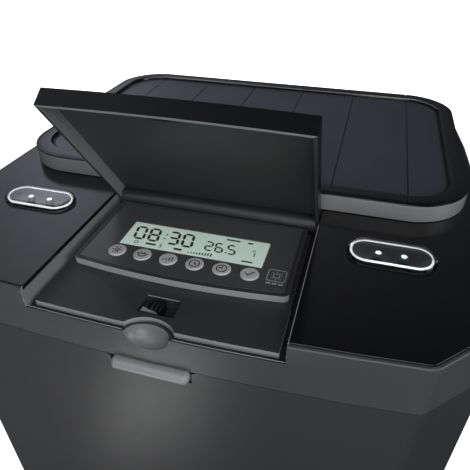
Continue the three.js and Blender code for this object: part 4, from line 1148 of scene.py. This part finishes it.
class FEEDER_OT_keys(Operator):
    """Builds the six keys and prints a sign on each"""

    bl_idname = "feeder.keys"
    bl_label = "Keys"

    def execute(self, context):
        s = sizes_mm()
        for key in KEYS:
            node = f"key_{key}"
            left, right = span(node, 0)
            front, back = span(node, 1)
            low, high = span(node, 2)
            x, y, radius = (left + right) / 2, (front + back) / 2, (right - left) / 2
            side = quarter(s["key_edge"], low, high, 6)
            side[:, 0] += radius
            cap = revolve(np.concatenate((side, [(1.5, high - 0.12)])), x, y, 48)
            surface(f"{node}_cap", cap, node, finish("key"), (node,))
            signs = joined(self.sign(key, x, y, s["stroke"], high - 0.13, high + 0.02))
            surface(f"{node}_sign", signs, node, finish("dark_ink"))
        return {"FINISHED"}

    def sign(self, key, x, y, width, low, high):
        """Lines that show what a key does: lamp, bowl, rising bars, clock hands, tick."""

        def line(*points):
            """A printed path through points that count from the key's middle."""
            return stroke(np.array([(x + a, y + b) for a, b in points], float), width, low, high)

        def ring(radius):
            """A printed circle round the key's middle."""
            return stroke(ellipse(x, y, radius, radius, 32), width, low, high, True)

        if key == "light":
            rays = [(math.cos(math.radians(t)), math.sin(math.radians(t))) for t in range(0, 360, 60)]
            return [ring(1.1)] + [line((2 * a, 2 * b), (3 * a, 3 * b)) for a, b in rays]
        if key == "feed":
            bowl = stroke(arc_points(x, y + 0.4, 2.4, 180, 360, 16), width, low, high)
            food = [line((-1.2, 1.4), (-0.6, 1.9)), line((0.5, 1.4), (1.1, 1.9))]
            return [bowl, line((-3, 0.4), (3, 0.4)), *food]
        if key == "volume":
            return [line((-2.4 + 1.6 * i, -1.6), (-2.4 + 1.6 * i, -0.8 + 0.9 * i)) for i in range(4)]
        if key == "hour":
            return [ring(2.7), line((0, 0), (0, 1.3)), line((0, 0), (0.9, -0.6))]
        if key == "minute":
            return [ring(2.7), line((0, 0), (0, 1.9)), line((0, 0), (-1.5, 0.6))]
        return [line((-2.2, 0), (-0.6, -1.6), (2.5, 1.8))]


INK_DEPTH = 0.04
DIGIT_FOOT = 7
TIME_LEFT = 4.6
READING_LEFT = 48.4
BARS_LEFT = 40.5

# Dashes that stand for small signs: start, end and width, from the glass's front left corner.
MARKS = (
    ((14.5, 3.6), (20.5, 3.6), 1.5),
    ((31.5, 3.2), (36.3, 3.2), 1.7),
    ((57.5, 19.6), (65.5, 19.6), 1.3),
    ((70, 19.4), (73, 19.4), 1.3),
    ((70.5, 2.9), (76.5, 2.9), 1.2),
    ((76, 8), (76, 11.6), 0.6),
)


class FEEDER_OT_display(Operator):
    """Builds the display glass with its digits and level bars"""

    bl_idname = "feeder.display"
    bl_label = "Display"

    def execute(self, context):
        left, right = span("lcd_panel", 0)
        front, back = span("lcd_panel", 1)
        low, high = span("lcd_panel", 2)
        glass = slab(rectangle(left, right, front, back, 0.4, 3), low, high, 0.15)
        surface("display_glass", glass, "top", finish("display"), ("lcd_panel",))
        digits = self.segments(left, front, high + 0.01, sizes_mm()["digit"])
        surface("display_segments", digits, "top", finish("crystal_ink"))
        return {"FINISHED"}

    def segments(self, left, front, z, tall):
        """Everything that the display shows: the time, a reading, and generic small marks."""
        top = z + INK_DEPTH
        foot = front + DIGIT_FOOT
        pitch = tall * 0.78
        parts = []
        for i, digit in enumerate((0, 8, 3, 0)):
            shift = left + TIME_LEFT + 1 + i * pitch + (3.4 if i > 1 else 0)
            parts += seven_segments(digit, shift, foot, tall * 0.5, tall, z, top)
        colon = left + TIME_LEFT + 2 * pitch + 0.5
        for height in (0.32, 0.68):
            spot = foot - 0.4 + tall * height
            parts.append(flat(rectangle(colon + 0.2, colon + 1.3, spot, spot + 1.1), z, top))
        small = tall * 0.7
        pitch = small * 0.76
        for i, digit in enumerate((2, 6, 5)):
            shift = left + READING_LEFT + i * pitch + (1.3 if i > 1 else 0)
            parts += seven_segments(digit, shift, foot, small * 0.5, small, z, top)
        point = left + READING_LEFT - 0.3 + 2 * pitch
        parts.append(flat(rectangle(point, point + 0.9, foot, foot + 0.9), z, top))
        parts += seven_segments(3, left + 22.6, front + 2.2, 1.5, 3, z, top)
        for i in range(9):
            bar = left + BARS_LEFT + i * 1.6
            parts.append(stroke(np.array(((bar, front + 1.8), (bar, front + 2.6 + 0.24 * i))), 0.8, z, top))
        for start, end, width in MARKS:
            path = np.array((start, end), float) + np.array((left, front))
            parts.append(stroke(path, width, z, top))
        parts.append(stroke(ellipse(left + 75.2, front + 13, 0.7, 0.7, 16), 0.35, z, top, True))
        parts.append(stroke(ellipse(left + 8.8, front + 3.4, 1.1, 1.1, 20), 0.5, z, top, True))
        return joined(parts)


# The bars that each digit lights, and the ends of each bar among the digit's six nodes.
LIT = {0: "abcdef", 2: "abged", 3: "abgcd", 5: "afgcd", 6: "afgcde", 8: "abcdefg"}
BARS = {
    "a": ((0, 2), (1, 2)),
    "b": ((1, 1), (1, 2)),
    "c": ((1, 0), (1, 1)),
    "d": ((0, 0), (1, 0)),
    "e": ((0, 0), (0, 1)),
    "f": ((0, 1), (0, 2)),
    "g": ((0, 1), (1, 1)),
}
SLANT = -0.16


def seven_segments(digit, left, front, width, height, low, high):
    """The lit bars of a digit. Each bar is a six-sided strip between two of the digit's six nodes,
    and the whole digit leans: x grows by SLANT times the height above its foot."""
    thick = height * 0.15
    parts = []
    for bar in LIT[digit]:
        start, end = (np.array((i * width, j * height / 2)) for i, j in BARS[bar])
        along = unit(end - start)
        across = np.array((-along[1], along[0])) * thick / 2
        start, end = start + along * thick * 0.15, end - along * thick * 0.15
        tip = along * thick * 0.5
        near, far = start + tip, end - tip
        outline = np.array((start, near - across, far - across, end, far + across, near + across))
        outline[:, 0] += outline[:, 1] * SLANT + left
        outline[:, 1] += front
        parts.append(flat(outline, low, high))
    return parts


# ---------------------------------------------------------------- cover, lights, latch, inside


COVER_TURN = math.radians(53.87)
COVER_AXIS = [sum(span("cover_pin_left", axis)) / 2 for axis in (1, 2)]
COVER_BARREL = 6.2
NIB_REACH = 104.8
NIB_HALF = (9.5, 2.4)
NIB_DEPTH = -3.1


class FEEDER_OT_cover(Operator):
    """Rounds the edges of the flip-up cover, adds its catch and finishes its faces and pins"""

    bl_idname = "feeder.cover"
    bl_label = "Control cover"

    def execute(self, context):
        edge = context.scene.feeder_sizes.edge * 1.2
        cover = softened("control_cover", edge, finish("cover"), 4)
        # The skirts' inner faces take a light grey: painted light.
        second_finish(cover, finish("painted_lit_wall"), self.painted_lit_wall)
        second_finish(cover, finish("tray"), self.inner_panel)
        second_finish(cover, finish("charcoal"), self.barrel)
        # The front skirt's rim takes a light grey: a painted highlight line.
        second_finish(cover, finish("case"), self.rim)
        surface("cover_nib", self.nib(), "cover", finish("cover"))
        for side in SIDES:
            repaint(f"cover_pin_{side}", "pin")
        return {"FINISHED"}

    def along(self, at):
        """Distances from the hinge's axis, along the open panel and out of its glossy face."""
        y, z = at[:, 1] - COVER_AXIS[0], at[:, 2] - COVER_AXIS[1]
        sine, cosine = math.sin(COVER_TURN), math.cos(COVER_TURN)
        return z * sine - y * cosine, y * sine + z * cosine

    def facing(self, way):
        """How far each normal looks out of the open panel's glossy face, from -1 to 1."""
        return way @ np.array((0, math.sin(COVER_TURN), math.cos(COVER_TURN)))

    def nib(self):
        """The catch at the middle of the front rim: half an ellipse, turned with the open cover."""
        angle = np.linspace(0, math.pi, 24)
        outline = np.stack((-NIB_HALF[0] * np.cos(angle), NIB_HALF[1] * np.sin(angle)), -1)
        points, faces = flat(outline[::-1], NIB_DEPTH, NIB_DEPTH + 1.6)
        reach, depth = NIB_REACH - points[:, 1], points[:, 2]
        sine, cosine = math.sin(COVER_TURN), math.cos(COVER_TURN)
        y = COVER_AXIS[0] - reach * cosine + depth * sine
        z = COVER_AXIS[1] + reach * sine + depth * cosine
        return np.stack((points[:, 0], y, z), -1), faces

    def painted_lit_wall(self, at, way):
        """The inner faces of the side skirts, which look along x towards the middle; they take a light grey
        as painted light.
        """
        return (at[:, 0] * way[:, 0] < 0) & (abs(way[:, 0]) > 0.7)

    def inner_panel(self, at, way):
        """The panel's inner face, which looks away from its glossy side."""
        return self.facing(way) < -0.7

    def barrel(self, at, way):
        """The hinge's barrel: what lies within its radius of the axis."""
        return np.hypot(*self.along(at)) < COVER_BARREL

    def rim(self, at, way):
        """The rim of the front skirt, far from the axis and facing away from the glossy face; painted light
        grey as a painted highlight.
        """
        reach, depth = self.along(at)
        return (self.facing(way) < -0.8) & (reach > reach.max() - 4) & (depth < -2)


RING_INSET = 1.9
DISH_INSET = 3
LAMP_SHIFT = 6.5
LAMP_RADIUS = 2.2
LENS_WALL = 1.6


class FEEDER_OT_light_windows(Operator):
    """Builds both light windows: clear dome, a ring glowing with painted light, reflector and lamps"""

    bl_idname = "feeder.light_windows"
    bl_label = "Light windows"

    def execute(self, context):
        for side in SIDES:
            node = f"light_lens_{side}"
            left, right = span(node, 0)
            front, back = span(node, 1)
            low, high = span(node, 2)
            x, y = (left + right) / 2, (front + back) / 2
            length, width = (right - left) / 2, (back - front) / 2
            outline = capsule(x, y, length, width)
            dome = self.dome(outline, low, high)
            surface(f"light_dome_{side}", dome, "top", finish("clear"), (node,))
            inside = outline - outward(outline) * RING_INSET
            ring = carry(inside, box_profile(-0.9, 0.15, low + 2.75, low + 3.1, 0.12))
            # The ring glows as a painted highlight round the window.
            surface(f"light_ring_{side}", ring, "top", finish("painted_rim_glow"))
            bowl = self.reflector(x, y, length - DISH_INSET, width - DISH_INSET, low)
            surface(f"light_reflector_{side}", bowl, "top", finish("chrome"))
            lamps = [revolve(self.lamp(low), x + shift, y, 24) for shift in (-LAMP_SHIFT, LAMP_SHIFT)]
            surface(f"light_lamps_{side}", joined(lamps), "top", finish("led"))
            repaint(f"light_board_{side}", "board")
        return {"FINISHED"}

    def dome(self, outline, low, high):
        """A shell LENS_WALL thick: up the outside, over a shoulder that is a quarter ellipse 2.6 mm
        in and 2 mm up, and back down the inside."""
        angle = np.linspace(0, math.pi / 2, 9)
        outer = np.stack((-2.6 * (1 - np.cos(angle)), high - 2 + 2 * np.sin(angle)), -1)
        inner = np.stack((-LENS_WALL - 1.6 * (1 - np.cos(angle)), high - 2.4 + 0.9 * np.sin(angle)), -1)
        points, shell = carry(outline, np.concatenate(([(-LENS_WALL, low), (0, low)], outer)), True, False)
        hidden, hollow = carry(outline, np.concatenate(([(-LENS_WALL, low)], inner)), True, False)
        n, shift = len(outline), len(points) - len(outline)

        def shared(face):
            """The inside's face turned over, with its first row's points taken from the outside's."""
            return [i if i < n else i + shift for i in face[::-1]]

        kept = hollow[:-2] + hollow[-1:]
        faces = shell[:-2] + shell[-1:] + [shared(face) for face in kept]
        return np.concatenate((points, hidden[n:])), faces

    def reflector(self, x, y, half_length, half_width, low):
        """A shallow dish: the outline shrinks by (1 - t) as its depth grows by the sine of t."""
        t = np.linspace(0, 1, 8)
        outline = capsule(x, y, half_length, half_width)
        dish = np.stack((-t * (half_width - 0.6), low + 1.9 - 1.5 * np.sin(t * math.pi / 2)), -1)
        profile = np.concatenate(([(-half_width + 0.6, low), (0, low)], dish))
        return carry(outline, profile, True, False)

    def lamp(self, low):
        """A low half ball on a short cylinder, as (radius, z)."""
        angle = np.linspace(0, math.pi / 2 - 0.12, 8)
        ball = np.stack((LAMP_RADIUS * np.cos(angle), low + 1.2 + 1.4 * np.sin(angle)), -1)
        return np.concatenate(([(LAMP_RADIUS, low + 0.1)], ball))


GRIP_END = 3.0
GRIP_BACK = 1.2
END_SIZE = 0.12
STEM_HALF = 8
WINDOW_HALF = 5.5


class FEEDER_OT_latch(Operator):
    """Builds the latch bar's grip and stem, and finishes the catch and the hinge pins"""

    bl_idname = "feeder.latch"
    bl_label = "Latch and hinges"

    def execute(self, context):
        surface("latch_grip", self.grip(), "latch", finish("latch"), ("latch_bar",), 60)
        surface("latch_stem", self.stem(), "latch", finish("latch"), ("latch_bar",))
        repaint("latch_catch", "pin")
        for side in SIDES:
            repaint(f"hinge_pin_{side}", "pin")
        return {"FINISHED"}

    def grip(self):
        """A bar whose section is half an ellipse with a flat back. Along x the section keeps its size
        until the last part, then shrinks as the root of one minus the square of the way left."""
        left, right = span("latch_bar", 0)
        low, high = span("latch_bar", 2)
        reach, middle, tall = -span("latch_bar", 1)[0], (low + high) / 2, (high - low) / 2
        angle = np.linspace(math.pi / 2, 3 * math.pi / 2, 19)
        curve = np.stack((reach * np.cos(angle), tall * np.sin(angle)), -1)
        section = np.concatenate((curve, [(GRIP_BACK, -tall), (GRIP_BACK, tall)]))
        turn = np.linspace(0, math.pi / 2, 17)[:-1]
        growing = 1 - np.cos(turn)
        x = np.concatenate((left + GRIP_END * growing, (right - GRIP_END * growing)[::-1]))
        share = np.concatenate((np.sin(turn), np.sin(turn)[::-1]))[:, None]
        size = share * (1 - END_SIZE) + END_SIZE
        y = np.where(section[:, 0] < 0, section[:, 0] * size, section[:, 0])
        z = middle + section[:, 1] * size
        points = np.stack((np.broadcast_to(x[:, None], y.shape), y, z), -1)
        return points.reshape(-1, 3), grid_faces(*y.shape, False, True) + ring_caps(*y.shape)

    def stem(self):
        """The tongue behind the grip, and the window that holds the catch."""
        back, high = span("latch_bar", 1)[1], span("latch_bar", 2)[1]
        low, high = high - 5.1, high - 2.5
        tongue = flat(rectangle(-STEM_HALF, STEM_HALF, 1, back - 7.4, 0.4, 3), low, high)
        window = rectangle(-WINDOW_HALF, WINDOW_HALF, back - 7.4, back - 2, 0.4, 3)
        return joined((tongue, carry(window, box_profile(0, 2, low, high, 0.2, 2))))


class FEEDER_OT_inside(Operator):
    """Finishes the hopper, the dosing drum, the thrower, the motors and the battery"""

    bl_idname = "feeder.inside"
    bl_label = "Inside"

    def execute(self, context):
        edge = context.scene.feeder_sizes.edge
        softened("hopper", edge, finish("food"))
        softened("hopper_gasket", edge * 0.5, finish("rubber"))
        softened("dosing_housing", edge * 0.6, finish("food"))
        softened("dosing_rotor", edge * 0.6, finish("acetal"))
        softened("thrower_housing", edge * 0.6, finish("tray"))
        softened("thrower_disc", edge * 0.6, finish("acetal"))
        softened("dosing_motor", edge * 0.6, finish("can"))
        softened("thrower_motor", edge * 0.6, finish("can"))
        softened("battery_pack", edge * 2, finish("shrink"), 3)
        return {"FINISHED"}


class FEEDER_PT_panel(Panel):
    """Lists the builders and the values"""

    bl_label = "Automatic Feeder"
    bl_idname = "FEEDER_PT_panel"
    bl_space_type = "VIEW_3D"
    bl_region_type = "UI"
    bl_category = "Feeder"

    def draw(self, context):
        for builder in BUILDERS:
            self.layout.operator(builder.bl_idname)
        for group in (context.scene.feeder_sizes, context.scene.feeder_colours):
            box = self.layout.box()
            for name in group.__annotations__:
                box.prop(group, name)


BUILDERS = (
    FEEDER_OT_stage,
    FEEDER_OT_casing,
    FEEDER_OT_solar_lid,
    FEEDER_OT_control_bay,
    FEEDER_OT_keys,
    FEEDER_OT_display,
    FEEDER_OT_cover,
    FEEDER_OT_light_windows,
    FEEDER_OT_latch,
    FEEDER_OT_inside,
)
CLASSES = (FeederSizes, FeederColours, *BUILDERS, FEEDER_PT_panel)


def register():
    """Adds the classes and the scene's two groups of values."""
    for cls in CLASSES:
        bpy.utils.register_class(cls)
    bpy.types.Scene.feeder_sizes = PointerProperty(type=FeederSizes)
    bpy.types.Scene.feeder_colours = PointerProperty(type=FeederColours)


def unregister():
    """Takes away what register added."""
    del bpy.types.Scene.feeder_colours
    del bpy.types.Scene.feeder_sizes
    for cls in reversed(CLASSES):
        bpy.utils.unregister_class(cls)


def main():
    """Runs each builder in order."""
    register()
    for builder in BUILDERS:
        group, name = builder.bl_idname.split(".")
        getattr(getattr(bpy.ops, group), name)()


if __name__ == "__main__":
    main()
